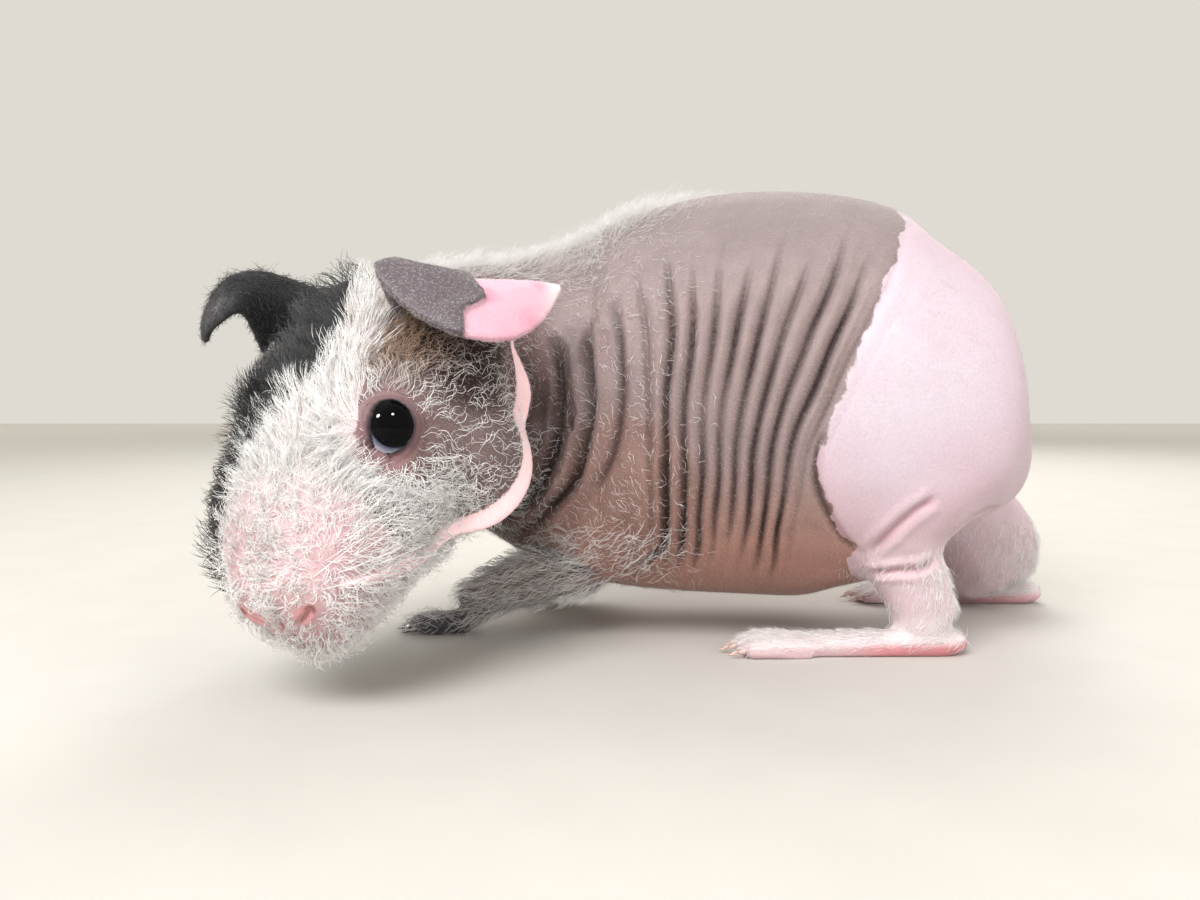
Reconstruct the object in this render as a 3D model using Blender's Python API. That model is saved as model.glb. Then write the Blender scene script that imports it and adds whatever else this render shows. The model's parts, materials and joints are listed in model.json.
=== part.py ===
"""Life-size still model of a young hairless guinea pig, standing with its head turned to its left.

Lengths are in millimetres until the last step, which scales the model to metres. The tail end is towards
+X, the animal's left side is towards -Y, and the feet stand on z = 0. Each soft part is a loft through a
few sections. The lofts are fused and softened into one body, and thin cuts then part it into nodes.
"""

import math

import bmesh
import bpy
import numpy as np
from mathutils import Matrix, Vector

MM = 0.001
CUT = 0.3  # the gap that every cut leaves between two nodes
VOXEL = 0.8  # the grid on which the lofts are fused
SOFTENING = 12  # rounds of smoothing after that
TRIANGLES = 3000  # of the fused body, before the cuts

# The head turns, dips and leans as one piece, so its own sizes are kept in its own axes: forward of the
# nose tip, to the animal's left, and up.
NOSE_TIP = Vector((-62.8, -63.0, 13.6))
HEAD_TURN = math.radians(18)  # from facing -Y, towards -X
HEAD_DIP = math.radians(45)
HEAD_LEAN = math.radians(-8)  # raises the animal's left eye
HEAD_BACK = -50.0  # the cut behind the ears
HEAD_WIDTH = 56.0  # more than the head's, to keep that cut off the trunk
EYE_RADIUS = 4.5
EYE_PLACE = Vector((-27.0, 11.5, 8.0))  # the left eye, in the head's axes
NECK_CUT = Vector((-34.0, -3.0, 41.0))
NECK_WAY = Vector((-1.0, -0.25, 0.0))
NECK_WIDTH = 180.0

# Colour and roughness by the start of a node's name.
TONES = {
    "eye": (0.01, 0.008, 0.012, 0.08),
    "ear_left": (0.45, 0.26, 0.26, 0.7),
    "ear_right": (0.02, 0.018, 0.02, 0.8),
    "head": (0.62, 0.52, 0.5, 0.75),
    "neck": (0.27, 0.19, 0.18, 0.7),
    "trunk": (0.3, 0.21, 0.19, 0.65),
    "hind_left_claw": (0.75, 0.55, 0.5, 0.35),
    "hind_right_claw": (0.75, 0.55, 0.5, 0.35),
    "hind": (0.8, 0.5, 0.5, 0.6),
    "fore_left_claw": (0.1, 0.08, 0.08, 0.35),
    "fore_right_claw": (0.1, 0.08, 0.08, 0.35),
    "fore": (0.33, 0.27, 0.26, 0.7),
}

# Sections of the trunk and neck, from the rump forwards: centre x, y, z, half width, height above
# the centre and depth below it.
TRUNK = [
    (56.0, -7.5, 36.0, 12.0, 7.0, 10.5),
    (53.5, -7.5, 36.0, 17.5, 12.5, 13.5),
    (49.5, -7.5, 36.5, 24.0, 21.5, 16.0),
    (44.5, -7.5, 37.0, 27.5, 33.0, 17.5),
    (35.0, -6.5, 37.0, 31.0, 38.6, 27.0),
    (22.0, -5.0, 39.0, 32.5, 42.0, 32.5),
    (6.0, -3.0, 39.0, 31.5, 43.0, 32.5),
    (-10.0, -1.0, 39.0, 29.0, 40.5, 32.0),
    (-24.0, 0.0, 39.5, 26.0, 35.5, 30.0),
    (-36.0, -3.0, 41.0, 22.0, 29.5, 25.0),
]
TRUNK_ENDS = (3.2, 9.0)
NECK = [
    (-28.0, 0.0, 41.0, 23.0, 32.0, 27.0),
    (-38.0, -4.0, 42.0, 21.5, 28.0, 24.0),
    (-45.0, -11.0, 43.0, 20.5, 25.0, 22.0),
    (-50.0, -20.0, 42.0, 19.5, 22.0, 20.0),
    (-53.0, -29.0, 39.0, 18.0, 19.0, 18.0),
]
NECK_ENDS = (6.0, 8.0)
# Sections of the head in its own axes, from the nose backwards: forward, left, up, half width, above
# and below.
HEAD = [
    (-2.4, 0.0, -1.5, 9.2, 8.6, 10.4),
    (-7.5, 0.0, -1.5, 12.0, 11.3, 12.8),
    (-14.0, 0.0, -1.5, 14.5, 13.8, 14.0),
    (-21.0, 0.0, -1.5, 16.7, 15.9, 14.8),
    (-28.0, 0.0, -1.5, 18.2, 17.4, 15.9),
    (-36.0, 0.0, -1.5, 18.8, 18.6, 17.2),
    (-44.0, 0.0, -1.0, 19.2, 18.8, 18.2),
    (-52.0, 0.0, 0.0, 18.6, 18.0, 17.6),
]
HEAD_ENDS = (3.2, 10.0)
HEAD_KEEL = 0.22  # how much narrower the head is below than at mid height
JOWL = ((-35.0, 11.5, -6.5), (13.0, 10.5, 11.5))  # centre and radii of the left one

# Sections of the ears in the head's axes, each a root point, an edge point and the bulge between them. The
# left ear's go from its front lobe to its rear tip, and the right ear's from the skull to its tip.
EAR_THICKNESS = 1.2
EAR_STEPS = 8  # points from an ear's root to its edge
EAR_LEFT = [
    (-43.5, 10.5, 21.0, -42.5, 11.0, 23.0, -2.0, -1.0, 1.0),
    (-42.5, 10.5, 15.0, -39.5, 14.5, 20.0, -7.5, -2.0, 3.5),
    (-44.5, 12.5, 11.0, -38.0, 18.5, 16.5, -8.5, -1.5, 4.0),
    (-47.5, 15.5, 6.5, -38.5, 23.0, 12.5, -9.0, -2.0, 3.5),
    (-51.5, 17.5, 2.5, -44.0, 25.5, 7.0, -9.0, -1.0, 3.5),
    (-55.0, 19.5, 0.5, -52.5, 26.0, 3.0, -7.5, 0.0, 2.0),
    (-61.5, 23.0, 0.0, -61.5, 26.0, 1.5, -2.5, -0.5, -0.5),
]
EAR_RIGHT = [
    (-53.5, -7.5, 12.5, -40.5, -15.5, 13.5, -1.5, 1.0, 2.5),
    (-53.0, -11.5, 16.5, -41.5, -15.0, 17.5, 0.0, 0.5, 2.0),
    (-51.0, -15.0, 21.5, -41.5, -14.5, 21.5, 1.0, 0.5, 1.0),
    (-48.0, -18.5, 23.5, -39.0, -16.0, 22.0, 1.0, 1.0, 1.5),
    (-43.0, -20.5, 22.5, -37.5, -18.0, 21.5, 1.0, 0.0, 0.5),
    (-37.5, -19.5, 20.5, -37.0, -19.5, 20.0, 0.0, -0.5, 0.0),
]

# The feet: the sole's sections as share of the foot's length, half width and height; how far the heel
# bulges back; the toes' lengths, radius and spacing; how much they fan out; and the claw's length.
FOOT = {
    "hind": {
        "sole": [(0.0, 3.4, 4.6), (0.3, 3.2, 4.0), (0.6, 3.6, 3.6), (0.8, 4.4, 3.2)],
        "heel": 4.4,
        "toes": (8.0, 9.5, 8.5),
        "toe_radius": 1.7,
        "toe_spacing": 3.1,
        "fan": 0.07,
        "claw": 3.0,
    },
    "fore": {
        "sole": [(0.0, 2.9, 4.0), (0.25, 3.1, 3.4), (0.5, 3.6, 2.8)],
        "heel": 2.6,
        "toes": (4.6, 6.4, 6.4, 4.6),
        "toe_radius": 1.25,
        "toe_spacing": 2.1,
        "fan": 0.13,
        "claw": 2.4,
    },
}
SOLE_DEPTH = 0.3  # how far the feet are sunk before they are cut flat at z = 0
CLAW_RADIUS = 0.62
CLAW_SUNK = 1.4  # how far a claw starts inside its toe
CLAW_LIFT = 0.35  # the least height of a claw over the ground

HIND_ANKLE = 6.0  # height of the cut between a hind foot and its leg
FORE_WRIST = 9.0  # top of the box that parts a fore foot
FOOT_MARGIN = 8.0  # room round a foot in the box that parts it
KNEE_MARGIN = 1.5  # how much larger than the lower leg the region that parts it is

# Each leg's sections run from the body outwards: centre x, y, z, half width across, then its half depth
# towards the back and the front. "parting" is the centre and radii of the ball that parts the leg from
# the trunk. "foot" is x and y of its heel or wrist and of the ends of its claws.
LEGS = {
    "hind_left": {
        "upper": [
            (38.0, -18.0, 48.0, 11.0, 9.0, 15.0),
            (35.0, -21.5, 38.0, 14.0, 17.5, 19.0),
            (31.0, -24.0, 28.0, 12.5, 13.5, 13.0),
            (28.0, -25.5, 20.0, 9.5, 8.5, 8.5),
        ],
        "lower": [
            (28.0, -26.0, 20.0, 7.0, 9.0, 6.5),
            (32.0, -26.5, 13.0, 5.2, 7.2, 5.4),
            (35.5, -26.5, 5.5, 4.0, 6.0, 4.8),
        ],
        "parting": ((38.0, -37.0, 35.0), (25.0, 22.0, 29.0)),
        "foot": ((38.5, -26.5), (0.6, -26.5)),
    },
    "hind_right": {
        "upper": [
            (40.0, 6.0, 48.0, 11.0, 9.0, 15.0),
            (42.0, 9.5, 37.0, 14.0, 15.5, 19.0),
            (44.0, 12.5, 28.0, 12.5, 14.0, 16.0),
            (49.0, 14.5, 20.0, 9.0, 10.5, 11.0),
        ],
        "lower": [
            (54.0, 14.5, 18.5, 9.0, 12.5, 9.5),
            (59.5, 14.5, 12.0, 9.5, 12.6, 9.5),
            (62.5, 15.0, 5.5, 8.0, 9.8, 9.0),
        ],
        "parting": ((42.0, 24.0, 35.0), (25.0, 22.0, 29.0)),
        "foot": ((70.0, 16.5), (32.0, 18.5)),
    },
    "fore_left": {
        "upper": [
            (-13.0, -14.0, 32.0, 9.0, 10.0, 10.0),
            (-18.0, -16.0, 23.0, 8.5, 9.0, 9.0),
            (-22.0, -16.0, 16.0, 7.0, 7.0, 7.5),
        ],
        "lower": [
            (-22.0, -15.5, 14.0, 5.4, 5.8, 6.2),
            (-33.0, -13.0, 10.0, 4.2, 4.2, 4.4),
            (-44.0, -11.0, 5.0, 3.4, 3.0, 3.0),
        ],
        "parting": ((-17.0, -31.0, 24.0), (15.0, 17.0, 18.0)),
        "foot": ((-44.0, -11.0), (-57.5, -8.6)),
    },
    "fore_right": {
        "upper": [
            (-14.0, 14.0, 32.0, 9.0, 10.0, 10.0),
            (-16.0, 16.0, 23.0, 8.5, 9.0, 9.0),
            (-17.0, 16.5, 16.0, 7.0, 7.0, 7.5),
        ],
        "lower": [
            (-17.0, 16.5, 14.0, 5.4, 5.8, 6.2),
            (-24.0, 16.5, 9.5, 4.2, 4.4, 4.8),
            (-31.0, 16.0, 5.0, 3.4, 3.0, 3.0),
        ],
        "parting": ((-15.0, 30.0, 24.0), (15.0, 17.0, 18.0)),
        "foot": ((-31.0, 16.0), (-44.5, 15.0)),
    },
}


def head_axes():
    """The head's own axes as a matrix: forward, left and up, with the nose tip as origin."""
    turn, dip, lean = HEAD_TURN, HEAD_DIP, HEAD_LEAN
    forward = Vector((-math.sin(turn) * math.cos(dip), -math.cos(turn) * math.cos(dip), -math.sin(dip)))
    left = Vector((math.cos(turn), -math.sin(turn), 0.0))
    up = forward.cross(left)
    leaned_left = left * math.cos(lean) - up * math.sin(lean)
    leaned_up = up * math.cos(lean) + left * math.sin(lean)
    axes = Matrix((forward, leaned_left, leaned_up)).transposed().to_4x4()
    axes.translation = NOSE_TIP
    return axes


def smooth_sections(sections, between):
    """The sections with `between` more put between each two, along Catmull-Rom curves."""
    given = np.array(sections, float)
    ends = np.vstack([2 * given[0] - given[1], given, 2 * given[-1] - given[-2]])
    found = []
    for i in range(1, len(ends) - 2):
        p0, p1, p2, p3 = ends[i - 1 : i + 3]
        for t in np.arange(between + 1) / (between + 1):
            slope = (p2 - p0) * t + (2 * p0 - 5 * p1 + 4 * p2 - p3) * t**2
            found.append(0.5 * (2 * p1 + slope + (3 * p1 - p0 - 3 * p2 + p3) * t**3))
    found.append(ends[-2])
    return np.array(found)


def loft(
    sections, ends, axes=Matrix(), side=None, keel=0.0, squareness=2.2, ring_points=28, between=3, cap_rings=3
):
    """A closed bmesh through oval sections, its ends rounded out by the two lengths in `ends`.

    The half widths run along `side`, or level and across the path if that is None. `keel` narrows the
    lower half, and a squareness of 2 makes plain ellipses.
    """
    stations = smooth_sections(sections, between)
    centres, sizes = stations[:, :3], stations[:, 3:]
    tangents = np.gradient(centres, axis=0)
    tangents /= np.linalg.norm(tangents, axis=1)[:, None]
    rows = list(zip(centres, tangents, sizes))
    for angle in np.radians(np.arange(1, cap_rings + 1) * 75 / cap_rings):
        inset, reach = math.cos(angle), math.sin(angle)
        rows.insert(0, (centres[0] - tangents[0] * ends[0] * reach, tangents[0], sizes[0] * inset))
        rows.append((centres[-1] + tangents[-1] * ends[1] * reach, tangents[-1], sizes[-1] * inset))
    mesh = bmesh.new()
    rings = []
    for centre, tangent, (half_width, above, below) in rows:
        across = np.cross((0, 0, 1), tangent) if side is None else np.array(side, float)
        across -= tangent * (across @ tangent)
        across /= np.linalg.norm(across)
        over = np.cross(tangent, across)
        ring = []
        for angle in np.linspace(0, 2 * math.pi, ring_points, endpoint=False):
            c, s = (math.copysign(abs(v) ** (2 / squareness), v) for v in (math.cos(angle), math.sin(angle)))
            width = half_width * (1 - keel * max(-s, 0))
            point = centre + across * c * width + over * s * (above if s > 0 else below)
            ring.append(mesh.verts.new(axes @ Vector(point)))
        rings.append(ring)
    for a, b in zip(rings, rings[1:]):
        for k in range(ring_points):
            n = (k + 1) % ring_points
            mesh.faces.new((a[k], a[n], b[n], b[k]))
    mesh.faces.new(rings[0][::-1])
    mesh.faces.new(rings[-1])
    bmesh.ops.recalc_face_normals(mesh, faces=mesh.faces)
    return mesh


def ball(centre, radii, turn=Matrix(), detail=3):
    """An ellipsoid with that many subdivisions, as a bmesh."""
    mesh = bmesh.new()
    bmesh.ops.create_icosphere(mesh, subdivisions=detail, radius=1)
    place = Matrix.Translation(centre) @ turn @ Matrix.Diagonal((*radii, 1))
    bmesh.ops.transform(mesh, matrix=place, verts=mesh.verts)
    return mesh


def block(low, high):
    """A box between two corners, as a bmesh."""
    low, high = Vector(low), Vector(high)
    mesh = bmesh.new()
    bmesh.ops.create_cube(mesh, size=1)
    place = Matrix.Translation((low + high) / 2) @ Matrix.Diagonal((*(high - low), 1))
    bmesh.ops.transform(mesh, matrix=place, verts=mesh.verts)
    return mesh


def half_space(point, way, width):
    """A long box whose near face goes through the point, square to the way it extends."""
    depth = 250.0
    way = Vector(way).normalized()
    turn = way.to_track_quat("Z", "Y").to_matrix().to_4x4()
    mesh = bmesh.new()
    bmesh.ops.create_cube(mesh, size=1)
    middle = Vector(point) + way * depth / 2
    place = Matrix.Translation(middle) @ turn @ Matrix.Diagonal((width, width, depth, 1))
    bmesh.ops.transform(mesh, matrix=place, verts=mesh.verts)
    return mesh


def new_object(name, *meshes):
    """One object holding all the bmeshes given, which are freed."""
    data = bpy.data.meshes.new(name)
    joined = bmesh.new()
    for part in meshes:
        part.to_mesh(data)
        joined.from_mesh(data)
        part.free()
    joined.to_mesh(data)
    joined.free()
    made = bpy.data.objects.new(name, data)
    bpy.context.scene.collection.objects.link(made)
    return made


def modified(obj, kind, **settings):
    """Gives the object a modifier with those settings and applies it."""
    modifier = obj.modifiers.new(kind, kind)
    for key, value in settings.items():
        setattr(modifier, key, value)
    bpy.context.view_layer.update()
    graph = bpy.context.evaluated_depsgraph_get()
    changed = bpy.data.meshes.new_from_object(obj.evaluated_get(graph))
    obj.modifiers.clear()
    obj.data = changed
    return obj


def boolean(obj, cutter, operation):
    """Cuts or trims the object with a bmesh, which is freed, and keeps the largest body that is left."""
    tool = new_object("cutter", cutter)
    modified(obj, "BOOLEAN", object=tool, operation=operation, solver="EXACT")
    bpy.data.objects.remove(tool)
    keep_largest(obj)
    return obj


def keep_largest(obj):
    """Drops every loose body but the one with the most vertices."""
    mesh = bmesh.new()
    mesh.from_mesh(obj.data)
    left = set(mesh.verts)
    bodies = []
    while left:
        body, edge = set(), [left.pop()]
        while edge:
            vertex = edge.pop()
            body.add(vertex)
            near = {e.other_vert(vertex) for e in vertex.link_edges} & left
            left -= near
            edge += near
        bodies.append(body)
    bodies.sort(key=len)
    for body in bodies[:-1]:
        bmesh.ops.delete(mesh, geom=list(body), context="VERTS")
    mesh.to_mesh(obj.data)
    mesh.free()


def parted(whole, name, region):
    """A node of what lies in a region, given as a function of how far the region is grown."""
    piece = whole.copy()
    piece.data = whole.data.copy()
    piece.name = name
    bpy.context.scene.collection.objects.link(piece)
    boolean(piece, region(0.0), "INTERSECT")
    boolean(whole, region(CUT), "DIFFERENCE")
    return piece


def grown(sections, by):
    """The sections with that much added to every half size."""
    return [(*s[:3], *(v + by for v in s[3:])) for s in sections]


def foot_axes(foot):
    """The way a foot points and the way across it, level on the ground."""
    back, front = (Vector((*p, 0.0)) for p in foot)
    forward = (front - back).normalized()
    return back, forward, Vector((-forward.y, forward.x, 0.0)), (front - back).length


def toe_lines(foot, sizes):
    """For each toe its root, its way forward and its length, fanned out across the foot."""
    back, forward, across, length = foot_axes(foot)
    count = len(sizes["toes"])
    for k, toe_length in enumerate(sizes["toes"]):
        place = k - (count - 1) / 2
        way = (forward + across * place * sizes["fan"]).normalized()
        reach = length - max(sizes["toes"]) - sizes["claw"] * 0.5
        root = back + forward * reach + across * place * sizes["toe_spacing"]
        root.z = sizes["toe_radius"] * 0.75
        yield root, way, toe_length


def foot_meshes(foot, sizes):
    """The sole and toes of a foot as lofts, a little below z = 0 so that they can be cut flat there."""
    back, forward, across, length = foot_axes(foot)
    sections = []
    for share, half_width, height in sizes["sole"]:
        centre = back + forward * length * share
        sections.append((centre.x, centre.y, height / 2 - SOLE_DEPTH, half_width, height / 2, height / 2))
    meshes = [loft(sections, (sizes["heel"], 1.5), ring_points=18)]
    for root, way, toe_length in toe_lines(foot, sizes):
        start = root - way * toe_length * 0.4
        knuckle = root + way * toe_length * 0.45
        tip = root + way * (toe_length - sizes["toe_radius"])
        radius = sizes["toe_radius"]
        meshes.append(loft(
            [
                (*start, radius, radius, radius),
                (knuckle.x, knuckle.y, knuckle.z + 0.35, radius * 0.92, radius, radius),
                (tip.x, tip.y, tip.z - 0.1, radius * 0.82, radius * 0.85, radius * 0.8),
            ],
            (1.0, radius * 0.9),
            ring_points=12,
        ))
    return meshes


def claw_mesh(root, way, toe_length, sizes, by=0.0):
    """A curved, pointed claw sunk into the end of its toe, or the hollow for it if grown by a gap."""
    start = root + way * (toe_length - CLAW_SUNK)
    sections = []
    for share in (0.0, 0.5, 1.0):
        place = start + way * sizes["claw"] * share
        radius = CLAW_RADIUS * (1 - 0.62 * share) + by
        height = max(place.z + 0.1 - 0.6 * share**2, radius + CLAW_LIFT)
        sections.append((place.x, place.y, height, radius * 0.85, radius, radius))
    return loft(sections, (0.3 + by, 0.3 + by), squareness=2.0, ring_points=6, between=0, cap_rings=1)


def mesh_of(obj):
    """The object's mesh as a bmesh."""
    mesh = bmesh.new()
    mesh.from_mesh(obj.data)
    return mesh


def ear_mesh(sections, axes):
    """A curved sheet through sections of root, edge and bulge."""
    stations = smooth_sections(sections, 1)
    steps = np.linspace(0, 1, EAR_STEPS)
    mesh = bmesh.new()
    rows = []
    for station in stations:
        root, edge, bulge = station[:3], station[3:6], station[6:9]
        points = [root + (edge - root) * t + bulge * 4 * t * (1 - t) for t in steps]
        rows.append([mesh.verts.new(axes @ Vector(p)) for p in points])
    for a, b in zip(rows, rows[1:]):
        for k in range(EAR_STEPS - 1):
            mesh.faces.new((a[k], a[k + 1], b[k + 1], b[k]))
    bmesh.ops.recalc_face_normals(mesh, faces=mesh.faces)
    return mesh


def ear(name, sections, body):
    """An ear as a solid sheet, stopped short of the body by the cut's gap."""
    made = new_object(name, ear_mesh(sections, head_axes()))
    modified(made, "SOLIDIFY", thickness=EAR_THICKNESS, offset=0.0)
    swollen = new_object("swollen", mesh_of(body))
    modified(swollen, "DISPLACE", strength=CUT, mid_level=0.0)
    boolean(made, mesh_of(swollen), "DIFFERENCE")
    bpy.data.objects.remove(swollen)


def soft_body():
    """Trunk, neck, head and legs fused into one softened body, cut flat where it stands."""
    axes = head_axes()
    meshes = [loft(TRUNK, TRUNK_ENDS), loft(NECK, NECK_ENDS), loft(HEAD, HEAD_ENDS, axes, keel=HEAD_KEEL)]
    centre, radii = JOWL
    for side in (1, -1):
        place = axes @ Vector((centre[0], side * centre[1], centre[2]))
        meshes.append(ball(place, radii, turn=axes.to_3x3().to_4x4()))
    for name, leg in LEGS.items():
        meshes.append(loft(leg["upper"], (6.0, 4.0), side=(0, 1, 0)))
        meshes.append(loft(leg["lower"], (3.0, 2.0), side=(0, 1, 0)))
        meshes += foot_meshes(leg["foot"], FOOT[name[:4]])
    body = new_object("trunk", *meshes)
    modified(body, "REMESH", mode="VOXEL", voxel_size=VOXEL)
    modified(body, "SMOOTH", factor=0.5, iterations=SOFTENING)
    faces = sum(len(p.vertices) - 2 for p in body.data.polygons)
    modified(body, "DECIMATE", ratio=TRIANGLES / faces)
    boolean(body, half_space((0, 0, 0), (0, 0, -1), 400.0), "DIFFERENCE")
    return body


def foot_block(name, leg, by):
    """The box that parts a foot from its leg: under the ankle of a hind foot, before a fore one's wrist."""
    back, forward, across, length = foot_axes(leg["foot"])
    middle = back + forward * length / 2
    reach = Vector((length / 2 + FOOT_MARGIN, FOOT_MARGIN, 0))
    low, high = middle - reach, middle + reach
    low.z = -1.0
    if name.startswith("hind"):
        high.z = HIND_ANKLE
    else:
        high.x = back.x
        high.z = FORE_WRIST
    gap = Vector((by, by, by))
    return block(low - gap, high + gap)


def knee_region(leg, by):
    """A little more than the lower leg's own loft, which parts it from the upper leg."""
    sections = grown(leg["lower"], KNEE_MARGIN + by)
    ends = (2 * KNEE_MARGIN + by, 2 * KNEE_MARGIN + by)
    return loft(sections, ends, side=(0, 1, 0), ring_points=12, between=0, cap_rings=2)


def leg_nodes(body, name, leg):
    """The foot, lower and upper parts of a leg, parted from the body, and its claws."""
    sizes = FOOT[name[:4]]
    foot = parted(body, name + "_foot", lambda by: foot_block(name, leg, by))
    parted(body, name + "_lower", lambda by: knee_region(leg, by))
    centre, radii = leg["parting"]
    parted(body, name + "_upper", lambda by: ball(Vector(centre), [r + by for r in radii], detail=2))
    for k, line in enumerate(toe_lines(leg["foot"], sizes)):
        boolean(foot, claw_mesh(*line, sizes, by=CUT), "DIFFERENCE")
        new_object(f"{name}_claw_{k + 1}", claw_mesh(*line, sizes))


def eyes(body, axes):
    """Both eyeballs, and their sockets in the body."""
    for side, left in (("left", 1), ("right", -1)):
        place = axes @ Vector((EYE_PLACE.x, left * EYE_PLACE.y, EYE_PLACE.z))
        boolean(body, ball(place, [EYE_RADIUS + CUT] * 3), "DIFFERENCE")
        new_object("eye_" + side, ball(place, [EYE_RADIUS] * 3))


def paint(obj):
    """Gives a node the material of the first name in TONES that its own name starts with."""
    name = next(key for key in TONES if obj.name.startswith(key))
    *colour, roughness = TONES[name]
    material = bpy.data.materials.new(obj.name)
    material.use_nodes = True
    shader = material.node_tree.nodes["Principled BSDF"]
    shader.inputs["Base Color"].default_value = (*colour, 1.0)
    shader.inputs["Roughness"].default_value = roughness
    obj.data.materials.clear()
    obj.data.materials.append(material)


def settle(nodes):
    """Puts the origin under the middle of the whole and turns millimetres into metres."""
    corners = [Vector(v.co) for obj in nodes for v in obj.data.vertices]
    low = Vector(map(min, zip(*corners)))
    high = Vector(map(max, zip(*corners)))
    origin = Vector(((low.x + high.x) / 2, (low.y + high.y) / 2, 0.0))
    for obj in nodes:
        obj.data.transform(Matrix.Scale(MM, 4) @ Matrix.Translation(-origin))


def main():
    for old in list(bpy.data.objects):
        bpy.data.objects.remove(old)
    axes = head_axes()
    body = soft_body()
    eyes(body, axes)
    for name, leg in LEGS.items():
        leg_nodes(body, name, leg)
    ear("ear_left", EAR_LEFT, body)
    ear("ear_right", EAR_RIGHT, body)
    face = (axes.to_3x3() @ Vector((1, 0, 0))).normalized()
    parted(body, "head", lambda by: half_space(axes @ Vector((HEAD_BACK - by, 0, 0)), face, HEAD_WIDTH))
    way = NECK_WAY.normalized()
    parted(body, "neck", lambda by: half_space(NECK_CUT - way * by, way, NECK_WIDTH))
    nodes = list(bpy.data.objects)
    settle(nodes)
    for obj in nodes:
        paint(obj)


main()
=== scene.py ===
"""Life-size still model of a young hairless guinea pig: its skin, eyes, claws and coat."""

import math

import bmesh
import bpy
import numpy as np
from mathutils import Euler, Vector
from mathutils.bvhtree import BVHTree
from mathutils.kdtree import KDTree
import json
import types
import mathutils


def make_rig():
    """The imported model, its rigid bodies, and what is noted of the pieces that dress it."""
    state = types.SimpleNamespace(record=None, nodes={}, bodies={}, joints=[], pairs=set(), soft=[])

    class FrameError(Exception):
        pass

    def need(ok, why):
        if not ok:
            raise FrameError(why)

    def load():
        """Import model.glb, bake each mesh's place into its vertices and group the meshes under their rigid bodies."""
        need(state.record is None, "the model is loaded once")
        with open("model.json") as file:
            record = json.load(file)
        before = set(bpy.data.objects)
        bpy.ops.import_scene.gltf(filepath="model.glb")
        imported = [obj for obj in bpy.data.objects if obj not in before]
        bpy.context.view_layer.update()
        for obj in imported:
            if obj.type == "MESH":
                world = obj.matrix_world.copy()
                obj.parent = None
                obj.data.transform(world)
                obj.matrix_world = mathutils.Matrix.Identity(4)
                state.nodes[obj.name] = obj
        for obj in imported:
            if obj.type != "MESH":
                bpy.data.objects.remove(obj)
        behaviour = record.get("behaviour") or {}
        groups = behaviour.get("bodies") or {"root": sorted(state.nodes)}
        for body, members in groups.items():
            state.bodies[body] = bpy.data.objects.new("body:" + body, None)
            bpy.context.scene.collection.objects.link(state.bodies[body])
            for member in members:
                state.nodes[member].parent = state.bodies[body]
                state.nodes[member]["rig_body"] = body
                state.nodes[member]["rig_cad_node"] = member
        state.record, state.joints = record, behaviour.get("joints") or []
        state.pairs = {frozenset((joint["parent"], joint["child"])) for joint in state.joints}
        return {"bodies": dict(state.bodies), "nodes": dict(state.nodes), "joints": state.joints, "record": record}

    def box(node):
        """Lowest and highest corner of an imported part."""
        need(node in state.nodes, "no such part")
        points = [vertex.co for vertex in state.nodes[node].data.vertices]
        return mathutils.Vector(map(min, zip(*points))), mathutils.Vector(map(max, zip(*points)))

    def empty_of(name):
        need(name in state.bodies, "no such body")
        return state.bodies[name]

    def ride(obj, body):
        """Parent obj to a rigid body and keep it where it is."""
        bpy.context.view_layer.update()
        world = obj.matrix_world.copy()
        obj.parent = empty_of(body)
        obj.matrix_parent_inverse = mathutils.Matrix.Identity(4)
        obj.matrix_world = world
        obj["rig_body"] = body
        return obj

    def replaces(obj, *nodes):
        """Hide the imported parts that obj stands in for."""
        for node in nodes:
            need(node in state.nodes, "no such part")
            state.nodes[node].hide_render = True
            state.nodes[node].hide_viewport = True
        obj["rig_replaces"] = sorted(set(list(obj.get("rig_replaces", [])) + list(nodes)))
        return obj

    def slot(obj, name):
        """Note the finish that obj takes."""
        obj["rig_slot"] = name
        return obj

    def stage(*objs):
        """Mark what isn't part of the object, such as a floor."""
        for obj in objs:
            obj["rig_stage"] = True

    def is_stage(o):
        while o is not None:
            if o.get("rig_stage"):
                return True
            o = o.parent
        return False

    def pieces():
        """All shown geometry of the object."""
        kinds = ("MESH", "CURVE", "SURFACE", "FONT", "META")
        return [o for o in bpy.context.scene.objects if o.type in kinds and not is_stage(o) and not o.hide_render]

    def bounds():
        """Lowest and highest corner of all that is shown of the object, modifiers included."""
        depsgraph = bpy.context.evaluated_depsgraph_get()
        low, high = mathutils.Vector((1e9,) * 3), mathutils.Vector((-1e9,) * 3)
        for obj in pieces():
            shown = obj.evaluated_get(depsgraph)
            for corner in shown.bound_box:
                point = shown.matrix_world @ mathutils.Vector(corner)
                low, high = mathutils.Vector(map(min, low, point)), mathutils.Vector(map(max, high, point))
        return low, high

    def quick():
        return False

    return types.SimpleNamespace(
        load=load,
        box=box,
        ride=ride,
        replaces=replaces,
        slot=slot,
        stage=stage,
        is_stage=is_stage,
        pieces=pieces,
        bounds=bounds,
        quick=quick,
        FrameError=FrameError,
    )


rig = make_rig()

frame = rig.load()
CAD_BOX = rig.bounds()

# ---- Axes ----
# Lengths are in millimetres here. The body's axes, x, y and z, have the tail end towards +X, the
# left side towards -Y and the feet on z = 0. The head's, u, v and w, run forward of the nose tip,
# to the animal's left, and up.
MM = 0.001
NOSE_TIP = np.array((-62.8, -63.0, 13.6))
HEAD_TURN, HEAD_DIP, HEAD_LEAN = (math.radians(a) for a in (18.0, 45.0, -8.0))
EYE_RADIUS = 4.5
EYE_PLACE = np.array((-27.0, 11.5, 8.0))


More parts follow.
